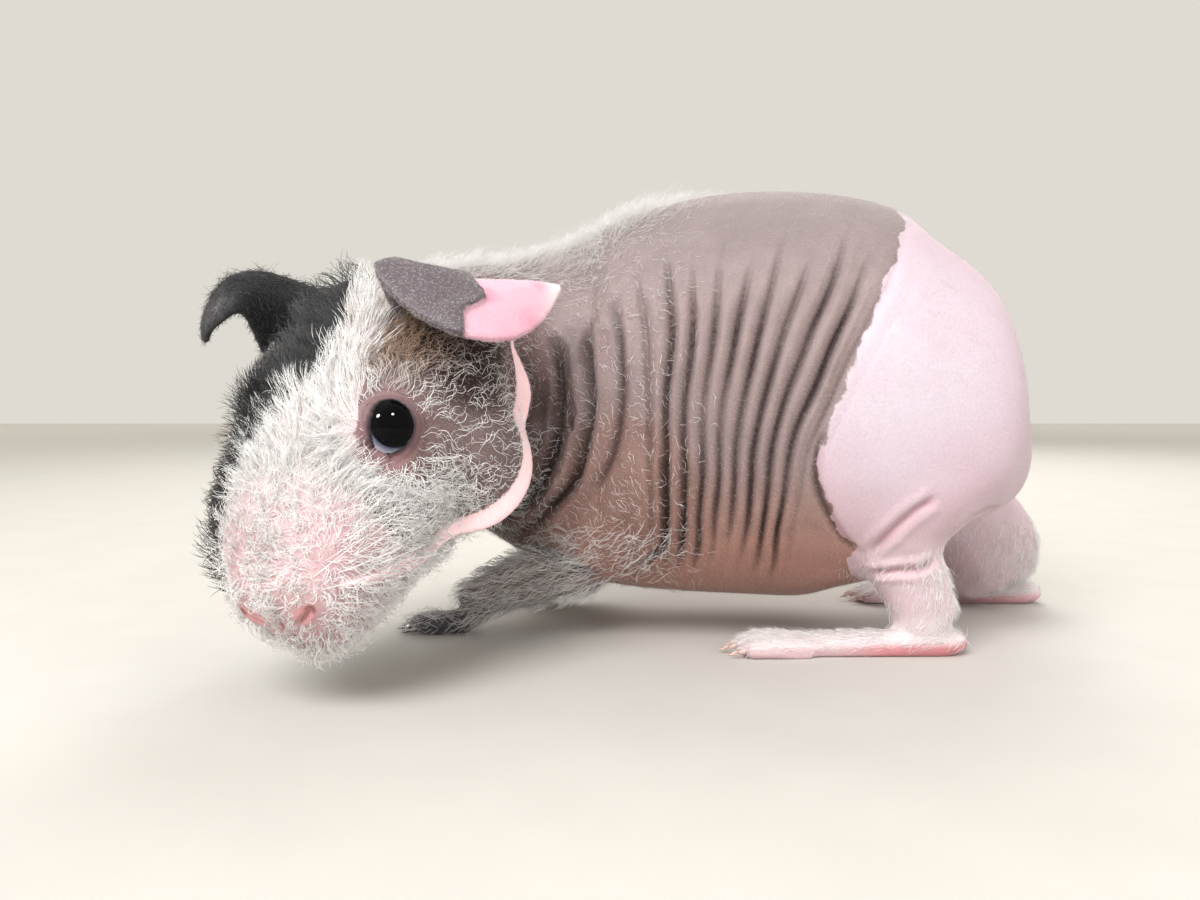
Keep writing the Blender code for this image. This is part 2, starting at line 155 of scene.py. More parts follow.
def head_axes():
    """Rows: forward, left and up, in the body's axes."""
    level = math.cos(HEAD_DIP)
    forward = np.array((-math.sin(HEAD_TURN) * level, -math.cos(HEAD_TURN) * level, -math.sin(HEAD_DIP)))
    left = np.array((math.cos(HEAD_TURN), -math.sin(HEAD_TURN), 0.0))
    up = np.cross(forward, left)
    cos, sin = math.cos(HEAD_LEAN), math.sin(HEAD_LEAN)
    return np.array((forward, left * cos - up * sin, up * cos + left * sin))


HEAD = head_axes()


def from_head(p):
    return NOSE_TIP + np.asarray(p, float) @ HEAD


def to_head(p):
    return (np.asarray(p, float) - NOSE_TIP) @ HEAD.T


def middle(node):
    low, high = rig.box(node)
    return (np.array(low) + np.array(high)) / 2 / MM


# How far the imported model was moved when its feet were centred.
MOVED = middle("eye_left") - from_head(EYE_PLACE)
MOVED[2] = 0.0


# ---- Small tools ----
def unit(v):
    v = np.asarray(v, float)
    return v / np.maximum(np.linalg.norm(v, axis=-1, keepdims=True), 1e-9)


def norms(rows):
    return np.linalg.norm(rows, axis=1)


def ramp(x, low, high):
    """0 below low, 1 above high, smooth between. low may be above high."""
    t = np.clip((np.asarray(x, float) - low) / (high - low), 0.0, 1.0)
    return t * t * (3 - 2 * t)


def bell(x, width):
    return np.exp(-((np.asarray(x, float) / width) ** 2))


PRIMES = (73856093, 19349663, 83492791, 1274126177)  # stir a grid cell's numbers into one


def noise(p, size, seed=0):
    """Smooth value noise from -1 to 1, with features about size across."""
    q = np.asarray(p, float) / size + seed * 31.7
    cell = np.floor(q).astype(np.int64)
    f = q - cell
    f = f * f * (3 - 2 * f)
    total = np.zeros(len(q))
    for corner in np.ndindex(2, 2, 2):
        n = (cell[:, 0] + corner[0]) * PRIMES[0] ^ (cell[:, 1] + corner[1]) * PRIMES[1]
        n = n ^ (cell[:, 2] + corner[2]) * PRIMES[2]
        n = (n ^ (n >> 13)) * PRIMES[3] & 0x7FFFFFFF
        n = (n ^ (n >> 15)) & 0xFFFF
        share = 1.0
        for axis, far in enumerate(corner):
            share = share * (f[:, axis] if far else 1 - f[:, axis])
        total += share * (n / 32767.5 - 1)
    return total


CURVE_POINTS = 60


def curve_through(points):
    """Points along a smooth curve through the given ones."""
    p = np.asarray(points, float)
    p = np.vstack((2 * p[0] - p[1], p, 2 * p[-1] - p[-2]))
    spans = len(p) - 3
    t = np.linspace(0, spans - 1e-6, CURVE_POINTS)
    i = t.astype(int)
    f = (t - i)[:, None]
    a, b, c, d = p[i], p[i + 1], p[i + 2], p[i + 3]
    return 0.5 * (2 * b + (c - a) * f + (2 * a - 5 * b + 4 * c - d) * f**2 + (3 * b - a - 3 * c + d) * f**3)


def along(co, normals, points, reach):
    """For the vertices within reach of a curve: their indices, distance across it on the skin,
    side (-1 or 1) and place along it (0 to 1)."""
    path = curve_through(points)
    near = np.flatnonzero(((co > path.min(0) - reach) & (co < path.max(0) + reach)).all(1))
    if not len(near):
        return near, np.zeros(0), np.zeros(0), np.zeros(0)
    way = unit(np.gradient(path, axis=0))
    offset = co[near][:, None] - path[None]
    n = normals[near][:, None]
    flat = offset - (offset * n).sum(2, keepdims=True) * n
    gap = np.linalg.norm(offset, axis=2)
    best = gap.argmin(1)
    row = np.arange(len(near))
    across = norms(flat[row, best])
    side = np.sign((np.cross(way[best], normals[near]) * offset[row, best]).sum(1))
    keep = gap[row, best] < reach
    return near[keep], across[keep], side[keep], best[keep] / (len(path) - 1)


def set_points(mesh, co):
    mesh.vertices.foreach_set("co", ((co + MOVED) * MM).astype(np.float32).ravel())


def mesh_object(name, co, faces):
    """A smooth-shaded mesh object from points in the body's axes and faces of equal size."""
    faces = np.asarray(faces, np.int32)
    mesh = bpy.data.meshes.new(name)
    mesh.vertices.add(len(co))
    set_points(mesh, co)
    size = faces.shape[1]
    mesh.loops.add(faces.size)
    mesh.loops.foreach_set("vertex_index", faces.ravel())
    mesh.polygons.add(len(faces))
    mesh.polygons.foreach_set("loop_start", np.arange(len(faces), dtype=np.int32) * size)
    mesh.update(calc_edges=True)
    mesh.polygons.foreach_set("use_smooth", np.full(len(faces), True))
    obj = bpy.data.objects.new(name, mesh)
    bpy.context.scene.collection.objects.link(obj)
    return obj


def rows_of(items, name, kind, size):
    """One property of every item in a mesh's list, a row to an item."""
    values = np.zeros(len(items) * size, kind)
    items.foreach_get(name, values)
    return values.reshape(-1, size)


def points_of(mesh):
    return rows_of(mesh.vertices, "co", np.float32, 3).astype(float) / MM - MOVED


def triangles_of(mesh):
    mesh.calc_loop_triangles()
    return rows_of(mesh.loop_triangles, "vertices", np.int32, 3)


def edges_of(mesh):
    return rows_of(mesh.edges, "vertices", np.int32, 2)


def normals_of(co, tris):
    a, b, c = co[tris[:, 0]], co[tris[:, 1]], co[tris[:, 2]]
    face = np.cross(b - a, c - a)
    total = np.zeros_like(co)
    for k in range(3):
        for axis in range(3):
            total[:, axis] += np.bincount(tris[:, k], face[:, axis], len(co))
    return unit(total)


def relaxed(values, edges, weight, times):
    """Each vertex's values moved towards its neighbours' mean, weight of the way, times over."""
    a, b = edges.T
    n = len(values)
    flat = values.reshape(n, -1).copy()
    count = np.maximum(np.bincount(a, minlength=n) + np.bincount(b, minlength=n), 1)
    weight = np.broadcast_to(weight, n)
    for _ in range(times):
        for axis in range(flat.shape[1]):
            v = flat[:, axis]
            mean = (np.bincount(a, v[b], n) + np.bincount(b, v[a], n)) / count
            flat[:, axis] = v + weight * (mean - v)
    return flat.reshape(values.shape)


def modified(obj, kind, **settings):
    """Gives the object the mesh that one modifier makes of its own."""
    mod = obj.modifiers.new(kind, kind)
    for name, value in settings.items():
        setattr(mod, name, value)
    graph = bpy.context.evaluated_depsgraph_get()
    source = obj.evaluated_get(graph)
    mesh = bpy.data.meshes.new_from_object(source, preserve_all_data_layers=True, depsgraph=graph)
    obj.modifiers.clear()
    obj.data = mesh


def remeshed(obj, voxel):
    """Remakes the object's mesh as one closed surface on a grid."""
    modified(obj, "REMESH", mode="VOXEL", voxel_size=voxel * MM, adaptivity=0.0)


def thinned(obj, faces):
    """Merges the flattest faces until about that many triangles are left."""
    ratio = min(1.0, faces / len(triangles_of(obj.data)))
    modified(obj, "DECIMATE", ratio=ratio, use_collapse_triangulate=True)


# ---- The skin's rough form, from the frame's flesh ----
EYES = ["eye_left", "eye_right"]
CLAWS = sorted(n for n in frame["nodes"] if "_claw_" in n)
FLESH = sorted(n for n in frame["nodes"] if n not in EYES and n not in CLAWS)
RUMP_PARTS = ("trunk", "hind_left_upper", "hind_right_upper")
UPPER_ARMS = ("fore_left_upper", "fore_right_upper")
FOREARMS = ("fore_left_lower", "fore_right_lower")
HANDS = ("fore_left_foot", "fore_right_foot")
SHANKS = ("hind_left_lower", "hind_right_lower")
FEET = ("hind_left_foot", "hind_right_foot")
FINE_VOXEL = 0.45
SKIN_VOXEL = 0.6 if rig.quick() else FINE_VOXEL
SKIN_FACES = 190000
ROUNDING = 90  # times the points are moved towards their neighbours, at the fine voxel
SWELL = 0.25  # closes the gaps between the nodes
EYE_SWELL = SWELL + 0.15
EXTRA_SWELL = 0.4  # closes the wider gaps between the rump's parts, and is taken off again by their inset


def swell_of(node):
    if node.startswith(RUMP_PARTS):
        return SWELL + EXTRA_SWELL
    return EYE_SWELL if node in EYES else SWELL


def gathered(nodes, swell):
    """The nodes' points, each moved out by swell(node), their triangles, and each triangle's node."""
    points, faces, owners, start = [], [], [], 0
    for index, node in enumerate(nodes):
        mesh = frame["nodes"][node].data
        co, tris = points_of(mesh), triangles_of(mesh)
        points.append(co + normals_of(co, tris) * swell(node))
        faces.append(tris + start)
        owners += [index] * len(tris)
        start += len(co)
    return np.vstack(points), np.vstack(faces), np.array(owners)


POINTS, FACES, OWNERS = gathered(FLESH, lambda node: 0.0)
TREE = BVHTree.FromPolygons(POINTS.tolist(), FACES.tolist())


def parts_at(co):
    """A function that tells which of the points are nearest to the flesh nodes whose names start
    with one of its words."""
    nearest = OWNERS[np.array([TREE.find_nearest(p)[2] for p in co.tolist()])]

    def on(*starts):
        return np.isin(nearest, [i for i, n in enumerate(FLESH) if n.startswith(starts)])

    return on


# Path of the pink fold behind the left cheek, and of the neck's folds behind it, in the body's
# axes, from the ear down to the throat.
CHEEK_FOLD = [(-34.6, -33.5, 51.0), (-32.6, -30.4, 45.0), (-31.1, -32.6, 39.0), (-31.9, -37.0, 33.5)]
CHEEK_FOLD += [(-34.8, -43.0, 28.5), (-39.0, -48.0, 24.5), (-44.5, -53.0, 21.5), (-48.5, -58.0, 20.5)]
NECK_FOLD_1 = [(-28.5, -22, 56), (-27, -22.7, 51.2), (-26.5, -24, 42.8), (-27.6, -24, 35)]
NECK_FOLD_1 += [(-30.6, -23, 28.5), (-36, -19, 22.5), (-41, -15, 20)]
NECK_FOLD_2 = [(-22.5, -22, 58), (-21.7, -23.5, 52.6), (-21.4, -26, 44.7), (-22, -26.2, 38)]
NECK_FOLD_2 += [(-24, -24, 30), (-28.7, -20.9, 24.3), (-35, -13, 18.5)]
# Over the shoulder
SHOULDER_FOLD = [(-17, -20, 61), (-16, -25, 53), (-16, -27.5, 43), (-17.5, -26.5, 34), (-21, -23, 26)]
# Front of the knee, up and back
KNEE_FOLD = [(24.0, -31.0, 17.3), (26.5, -34.5, 21.1), (30.1, -35.6, 25.0), (34.5, -35.9, 28.0)]
# Where the loose thigh ends round the shank
SHANK_FOLD = [(25.0, -28, 14.2), (26.2, -30.6, 14.6), (29, -31.8, 15.1), (33, -31.9, 15.6), (36.5, -31, 17.5)]
# Between the belly and the front of the thigh
GROIN_FOLD = [(15.5, -37, 40), (14.6, -36.3, 33.7), (15, -35.5, 28.8), (18.6, -33.3, 22.1), (24, -30.5, 15.5)]
# Under the rump, where the thigh hangs over the far leg
RUMP_FOLD = [(37.0, -28.0, 24.0), (41, -28.5, 24.5), (45.5, -26.5, 24.5), (50, -22, 24.5)]
# Behind the shoulder, curving under the arm
ARMPIT_FOLD = [(-9.3, -29.9, 36), (-9.4, -29.9, 30), (-9, -26, 20), (-10.5, -23, 16.4), (-14, -19, 13.2)]
# Inside of the elbow
ELBOW_FOLD = [(-33, -12, 16.5), (-28.5, -17.5, 15.5), (-23.5, -20.5, 13.5), (-20, -20.5, 12.0)]
FOLDS = (  # path, depth, width, lip
    (NECK_FOLD_1, 2.1, 0.85, 0.5),
    (NECK_FOLD_2, 2.1, 0.85, 0.5),
    (SHOULDER_FOLD, 0.6, 0.8, 0.5),
    (KNEE_FOLD, 0.75, 0.7, 0.5),
    (SHANK_FOLD, 0.7, 0.6, 0.6),
    (GROIN_FOLD, 0.7, 0.7, 0.1),
    (RUMP_FOLD, 0.5, 1.0, 0.3),
    (ARMPIT_FOLD, 1.2, 0.6, 0.4),
    (ELBOW_FOLD, 0.7, 0.8, 0.4),
)
# Lines of the nose and mouth on one side of the face, in the head's axes: path, depth, width.
FACE_LINES = [
    (((-0.6, 6.3, 1.9), (-0.2, 5.2, 1.0), (0.4, 3.8, 0.1), (0.7, 2.3, -0.9)), 0.75, 0.36),
    (((0.9, 0.0, 0.5), (0.7, 0.0, -2.5), (-0.3, 0.0, -6.0), (-1.6, 0.0, -8.8)), 0.45, 0.45),
    (((-1.4, 0.3, -8.5), (-3.5, 3.6, -9.8), (-7.0, 6.6, -10.8), (-11.5, 8.6, -10.8)), 1.0, 0.6),
]

# Half the eye's opening, in degrees, at angles turned from its upper edge towards its rear. Its
# pointed front corner is at 206.
LID = ((0, 58), (28, 50), (65, 44), (96, 41), (129, 41), (158, 45), (188, 54), (200, 62), (206, 67))
LID += ((212, 62), (222, 54), (234, 48), (250, 43), (292, 44), (317, 52), (338, 58))


def smoothed_opening():
    turn = np.arange(360.0)
    size = np.interp(turn, *zip(*LID), period=360)
    for _ in range(5):
        size = 0.25 * np.roll(size, 1) + 0.5 * size + 0.25 * np.roll(size, -1)
    return np.radians(size)


LID_SIZE = smoothed_opening()


# For the left eye, in the head's axes: the way its opening faces, and about the way to its upper edge.
EYE_OUT, EYE_UP = np.array((0.593, 0.579, 0.559)), np.array((-0.741, 0.077, 0.667))


def eye_way(side):
    """Unit vectors of an eye's opening, in the head's axes: outwards, towards its upper edge, and
    towards its rear corner. side is 1 for the left eye and -1 for the right."""
    out = unit(EYE_OUT * (1, side, 1))
    up = EYE_UP * (1, side, 1)
    up = unit(up - out * (up @ out))
    rear = unit(np.cross(up, out)) * side
    return out, up, rear


def around_eye(h, side):
    """For points in the head's axes: unit vectors from an eye's centre, the distances from it, the
    angles round its opening, and the distances from the opening's edge, below 0 on the ball."""
    out, up, rear = eye_way(side)
    q = h - EYE_PLACE * (1, side, 1)
    d = unit(q)
    angle = np.arctan2(d @ rear, d @ up)
    half = np.interp(np.degrees(angle) % 360, np.arange(360.0), LID_SIZE, period=360)
    gap = EYE_RADIUS * (np.arccos(np.clip(d @ out, -1, 1)) - half)
    r = norms(q)
    off = np.maximum(r - EYE_RADIUS - 0.25, 0)
    gap = np.where(gap > 0, np.hypot(gap, off), np.where(off > 0.25, off, gap))
    return d, r, angle, gap


def relaxed_near(co, edges, chosen, times):
    """The chosen vertices drawn halfway to their neighbours' mean, times over, the rest held."""
    touch = chosen[edges].any(1)
    used, local = np.unique(edges[touch], return_inverse=True)
    co[used] = relaxed(co[used], local.reshape(-1, 2), np.where(chosen[used], 0.5, 0.0), times)
    return co


# Distances from an eye's centre: the skin is smoothed first within the hollow, lies on the ball or
# lid within the ring, is blended out to the brow, and folded out to the cheek.
HOLLOW, RING, BROW, CHEEK = 9.5, 9.0, 12.5, 14.0


def lids(co, edges):
    """Sinks the skin into each eyeball inside the opening, and draws thin lids round it."""
    for side in (1, -1):
        centre = from_head(EYE_PLACE * (1, side, 1))
        out = eye_way(side)[0]
        r = norms(co - centre)
        co = relaxed_near(co, edges, r < HOLLOW, 120)
        d, r = around_eye(to_head(co), side)[:2]
        near = (r < CHEEK) & (d @ out > -0.3)
        flat = around_eye(EYE_PLACE * (1, side, 1) + EYE_RADIUS * d, side)[3]
        ring = near & (r < RING) & (flat < 0.5)
        lid = EYE_RADIUS + 0.13 + 0.05 * ramp(flat, 0.0, 0.5)
        co[ring] = centre + (d * lid[:, None])[ring] @ HEAD
        outside = near & ~ring & (r < BROW)
        for _ in range(8):
            co = relaxed_near(co, edges, outside, 32)
            q = co[outside] - centre
            r = np.linalg.norm(q, axis=1, keepdims=True)
            co[outside] = centre + q / r * np.maximum(r, EYE_RADIUS + 0.2)
        d, r, angle, gap = around_eye(to_head(co), side)
        near = (r < CHEEK) & (d @ out > -0.3)
        upper = ramp(np.cos(angle - 0.15), 0.2, 0.8)
        lower = ramp(np.cos(angle - math.radians(200)), 0.1, 0.7)
        shift = -1.15 * ramp(gap, 0.05, -0.2) + 0.07 * bell(gap - 0.22, 0.16)
        shift -= 0.14 * bell(gap - 1.3, 0.22) * upper + 0.16 * bell(gap - 2.5, 0.3) * upper
        shift -= 0.12 * bell(gap - 1.2, 0.22) * lower + 0.20 * bell(gap - 2.4, 0.28) * lower
        shift += 0.14 * bell(gap - 1.9, 0.4) + 0.10 * bell(gap - 3.3, 0.5) * (upper + lower)
        shift -= 0.16 * bell(gap - 3.9, 0.35) * lower
        co[near] += (d * shift[:, None])[near] @ HEAD
    return co


LIP_PLACE, LIP_WIDTH = 2.4, 1.3  # of a crease's lips, in widths of the crease


def carve(co, normals, points, depth, width, lip, reach=4.0, ends=0.2):
    """A crease along a curve, with a rounded lip on both sides of it. Returns its strength."""
    near, across, _, place = along(co, normals, points, reach)
    fade = ramp(place, 0, ends) * ramp(place, 1, 1 - ends)
    cut = bell(across, width)
    edge = bell(across - LIP_PLACE * width, LIP_WIDTH * width) * lip
    co[near] += normals[near] * (depth * fade * (edge - cut))[:, None]
    strength = np.zeros(len(co))
    strength[near] = cut * fade
    return strength


# Where the markings' borders run. The rump's and the ear lobe's are pairs of z and x, the black's
# and the blaze's of u and v.
RUMP_EDGE = ((0, 26), (14, 25.4), (17, 24.3), (22, 19), (29, 15.5), (34, 15), (38.5, 15.6), (48, 19.5))
RUMP_EDGE += ((54, 22), (64, 27), (74, 32.4), (84, 34.5))
BLACK_EDGE = ((-60, -1.0), (-46, 2.0), (-39, 3.6), (-33, 3.0), (-29, 0.4), (-24.5, -2.8), (-21, -5.8))
BLACK_EDGE += ((-16.5, -8.2), (-10, -8.4), (-4, -11))
BLAZE_EDGE = ((-60, 4.2), (-48, 6.4), (-39, 8.0), (-32, 8.6), (-27, 8.6), (-21, 9.4), (-18, 10.2))
BLAZE_EDGE += ((-14.5, 11.5), (-12.3, 15), (-10.5, 24))
LOBE_EDGE = ((50, -38.8), (53.5, -39.0), (55.4, -39.6), (56.2, -39.3), (57, -37.8), (58, -36.8))
LOBE_EDGE += ((59.1, -37.2), (60.5, -38.6), (63.5, -41.5))


def along_table(table, x):
    xs, ys = zip(*table)
    return np.interp(x, xs, ys)


# The flanks' folds: the gap between two where they lie closest, the x of fold number 0, how much
# further forward the right flank's run, the scale of the skin's finest wrinkles, and the y and the
# half width that a place on the flank is measured by.
FOLD_GAP, FOLD_ZERO, RIGHT_SHIFT, WRINKLE = 2.55, -9.2, 1.3, 0.16
TRUNK_MIDDLE, TRUNK_HALF = -4.0, 31.0


def flank_folds(co, on):
    """Upright folds of loose skin on both flanks: how far out each point moves, and how deep in a
    crease it is. The folds fan out towards the back and lie closer below."""
    x, y, z = co.T
    apart = FOLD_GAP + 0.035 * (np.sqrt((z - 36) ** 2 + 60) + z - 36)
    warp = 1.0 * noise(co, 16, 1) + 0.6 * noise(co * (1, 1, 0.5), 6, 2)
    right = y > -5
    place = (x - FOLD_ZERO + warp + np.where(right, RIGHT_SHIFT, 0.0)) / apart
    order = np.round(place)
    gap = np.abs(place - order) * apart
    strong = 0.55 + 0.45 * np.sin(order * 12.9 + 1.3) + 0.15
    strong = np.where(np.isin(order, (0, 1, 5, 6, 7)), 1.0, np.clip(strong, 0.35, 0.8))
    low = np.where(order <= 2, 13.0, 17.5 + 2.5 * np.sin(order * 5.1))
    strength = strong * ramp(z, low - 7, low + 9) * ramp(z, 73 + 4 * np.sin(order * 3.3), 52)
    strength = strength * ramp(place, -1.6, -0.4) * ramp(place, 9.6, 7.2)
    side = np.abs(y - TRUNK_MIDDLE) / TRUNK_HALF
    strength = strength * ramp(side, 0.45, 0.75) * on("trunk", "fore", "hind")
    rise = 0.75 * (0.5 - 0.5 * np.cos(2 * math.pi * (place - order)))
    strength = strength * (0.85 + 0.4 * noise(co * (1, 1, 0.6), 7, 5))
    move = strength * (rise - 0.25 - 1.3 * bell(gap, 0.36) - 0.5 * bell(gap, 0.9))
    fine = noise(co * (1, 1, 0.22) + 0.25 * warp[:, None], 1.15, 41) + 0.5 * noise(co * (1, 1, 0.5), 0.8, 42)
    loose = ramp(side, 0.35, 0.7) * ramp(z, 14, 24) * ramp(z, 76, 62) * ramp(x, -36, -28)
    loose = loose * ramp(x, along_table(RUMP_EDGE, z) + 4, along_table(RUMP_EDGE, z) - 4)
    loose = loose * on("trunk", "neck", *UPPER_ARMS, "hind")
    fine = fine * loose * (0.5 + 0.5 * ramp(x, -10, -16))
    move = move + WRINKLE * fine
    # How deep each point lies in a crease, below 0 on the ridges. The skin's tones darken the creases as painted shade
    # and lighten the ridges as painted highlight.
    deep = strength * (1.25 * bell(gap, 0.5) - 0.45 * (rise / 0.75) ** 2)
    return move, np.where(deep > 0.25, deep, deep + 0.22 * np.clip(-fine, -0.6, 1))


COAT_DEPTH = 0.35
SUNK_LESS = 0.12  # how much less than its inset the skin is sunk
DEPTHS = ((("neck",), 0.5), (("ear",), 0.3), (FOREARMS, 0.6), (SHANKS, 0.45), (HANDS, 0.25), (FEET, 0.2))


def inset(h, on):
    """How far the skin lies under the coat's tips, in millimetres, before any folds."""
    depth = np.where(on(*RUMP_PARTS), COAT_DEPTH + EXTRA_SWELL, COAT_DEPTH)
    face = 0.9 + 0.7 * ramp(h[:, 0], -30, -12) - 0.5 * ramp(h[:, 0], -5, 1)
    depth = np.where(on("head"), face, depth)
    for starts, size in DEPTHS:
        depth = np.where(on(*starts), size, depth)
    return depth


def refine(obj, places):
    """Splits the faces near each (point, radius) finer."""
    bm = bmesh.new()
    bm.from_mesh(obj.data)
    chosen = set()
    centres = [(Vector((np.array(p) + MOVED) * MM), (r * MM) ** 2) for p, r in places]
    for v in bm.verts:
        for c, r2 in centres:
            if (v.co - c).length_squared < r2:
                chosen.update(v.link_edges)
                break
    bmesh.ops.subdivide_edges(bm, edges=list(chosen), cuts=1, use_grid_fill=True)
    bmesh.ops.triangulate(bm, faces=[f for f in bm.faces if len(f.verts) > 4])
    bm.to_mesh(obj.data)
    bm.free()


def skin_form():
    """The flesh and eyes as one closed surface, rounded, then sunk by the coat's depth."""
    points, faces, _ = gathered(FLESH + EYES, swell_of)
    obj = mesh_object("skin", points, faces)
    remeshed(obj, SKIN_VOXEL)
    co = points_of(obj.data)
    on = parts_at(co)
    edges = edges_of(obj.data)
    thin = on("ear", *HANDS, *FEET)
    weight = np.where(thin, 0.06, np.where(on(*FOREARMS, *SHANKS), 0.3, 1.0))
    weight = np.where(on("head"), 0.55, weight)
    weight = relaxed(weight, edges, 0.8, 12)
    times = int(ROUNDING * (FINE_VOXEL / SKIN_VOXEL) ** 2)
    co = relaxed(co, edges, 0.5 * np.clip(weight, 0, 1), times)
    round_rump = ramp(co[:, 0], 22, 36) * ramp(co[:, 2], 26, 40)
    co = relaxed(co, edges, 0.5 * round_rump, 4 * times)
    normals = normals_of(co, triangles_of(obj.data))
    depth = relaxed(inset(to_head(co), on) - SUNK_LESS, edges, 0.8, 14)
    co = co - normals * depth[:, None]
    set_points(obj.data, co)
    obj.data.update()
    finer = [(from_head(EYE_PLACE * (1, s, 1)) + 2.0 * (eye_way(s)[0] @ HEAD), 7.0) for s in (1, -1)]
    finer.append((from_head((-1.5, 0.0, -1.0)), 7.5))
    refine(obj, finer)
    refine(obj, [(p, r - 2.2) for p, r in finer])
    return obj


# ---- Markings ----
NOT_HERE = -9  # a mark's distance on the parts that never bear it


def marks(p, on):
    """Signed distances from the edges of the markings, above 0 inside them."""
    x, y, z = p.T
    u, v, w = to_head(p).T
    rough = 1.1 * noise(p, 4.5, 3) + 0.6 * noise(p, 1.6, 4)
    right = ramp(y, -12, 10)
    rump = (x - along_table(RUMP_EDGE, z) - right * (2.0 + 3.0 * np.sin(z / 8.0))) * 0.8 + 0.8 * rough
    rump = np.where(on(*SHANKS), np.maximum(rump, 3), rump)
    rump = np.where(on(*FEET), 5, rump)
    rump = np.where(on("head", "neck", "fore", "ear"), NOT_HERE, rump)
    face = on("head", "neck")
    black = np.minimum(along_table(BLACK_EDGE, u) - v, (-6.5 - u) * 0.8)
    black = np.minimum(black, w + 14 + 0.3 * (u + 30)) + rough
    black = np.minimum(black, 0.6 * (u + 55 + 0.5 * v) + rough)
    black = np.where(on("ear_right"), 5, np.where(face, black, NOT_HERE))
    blaze = np.minimum(along_table(BLAZE_EDGE, u) - v, v - along_table(BLACK_EDGE, u) + 0.5) + 0.8 * rough
    front = (u + 11.5) * 0.8 + 0.8 * rough
    blaze = np.maximum(blaze, np.minimum(front, -black))
    blaze = np.minimum(blaze, (u + 50) * 0.8 + rough)
    blaze = np.where(on("head"), blaze, NOT_HERE)
    pinna = x - along_table(LOBE_EDGE, z) + 0.2 * rough
    pinna = np.where(on("ear_left"), pinna, NOT_HERE)
    return {"rump": rump, "black": black, "blaze": blaze, "pinna": pinna}


# On the left of the face, in the head's axes: the nostril, the middle of that side of the bare
# nose, and the ear's opening.
NOSTRIL = np.array((-0.6, 5.9, 1.5))
NOSE_BARE = np.array((0.0, 4.4, 0.8))
CANAL = np.array((-43.5, 19.0, 6.5))
PAD = np.array((-5.5, 8.0, 2.5))  # the middle of the whiskers' pad
# How far in the holes go, and at most how far out the full places stand.
NOSTRIL_DEPTH, CANAL_DEPTH, PAD_HEIGHT = 1.0, 1.8, 0.8
ARM_HEIGHT, BROW_HEIGHT, LOBE_HEIGHT = 1.2, 1.5, 0.9


def nose_gap_at(h):
    """Distance from the middle of the bare nose, stretched to its shape."""
    side = np.abs(h[:, 1])
    away = np.stack((0.5 * h[:, 0], side - 4.4, 1.15 * (h[:, 2] - 0.8 - 0.35 * (side - 4.4))), 1)
    return np.minimum(norms(away), np.hypot(side * 1.6, h[:, 2] + 1.0) + 0.8)


def srgb(*rgb):
    c = np.array(rgb, float) / 255
    return np.where(c <= 0.04045, c / 12.92, ((c + 0.055) / 1.055) ** 2.4)


SKIN_DEPTH = 0.74  # the skin's tones below are as seen in full light, so the paint is darker


def mixed(a, b, share):
    share = np.asarray(share, float)
    share = share[:, None] if share.ndim else share
    return a * (1 - share) + b * share


def painted(tone, *layers):
    """The tone with each layer, a colour and its share at each point, mixed over it in turn."""
    for colour, share in layers:
        tone = mixed(tone, srgb(*colour), share)
    return tone


def shares_of_parts(on, edges):
    """How far each vertex belongs to a few parts of the body, blended across their borders."""
    groups = {
        "neck": (("neck",), 60),
        "upper_arm": (UPPER_ARMS, 60),
        "forearm": (FOREARMS + HANDS, 25),
        "hand": (HANDS, 14),
        "head": (("head",), 14),
        "shank": (SHANKS + FEET, 25),
        "foot": (FEET, 25),
    }
    return {
        name: relaxed(on(*starts) * 1.0, edges, 0.8, times)
        for name, (starts, times) in groups.items()
    }


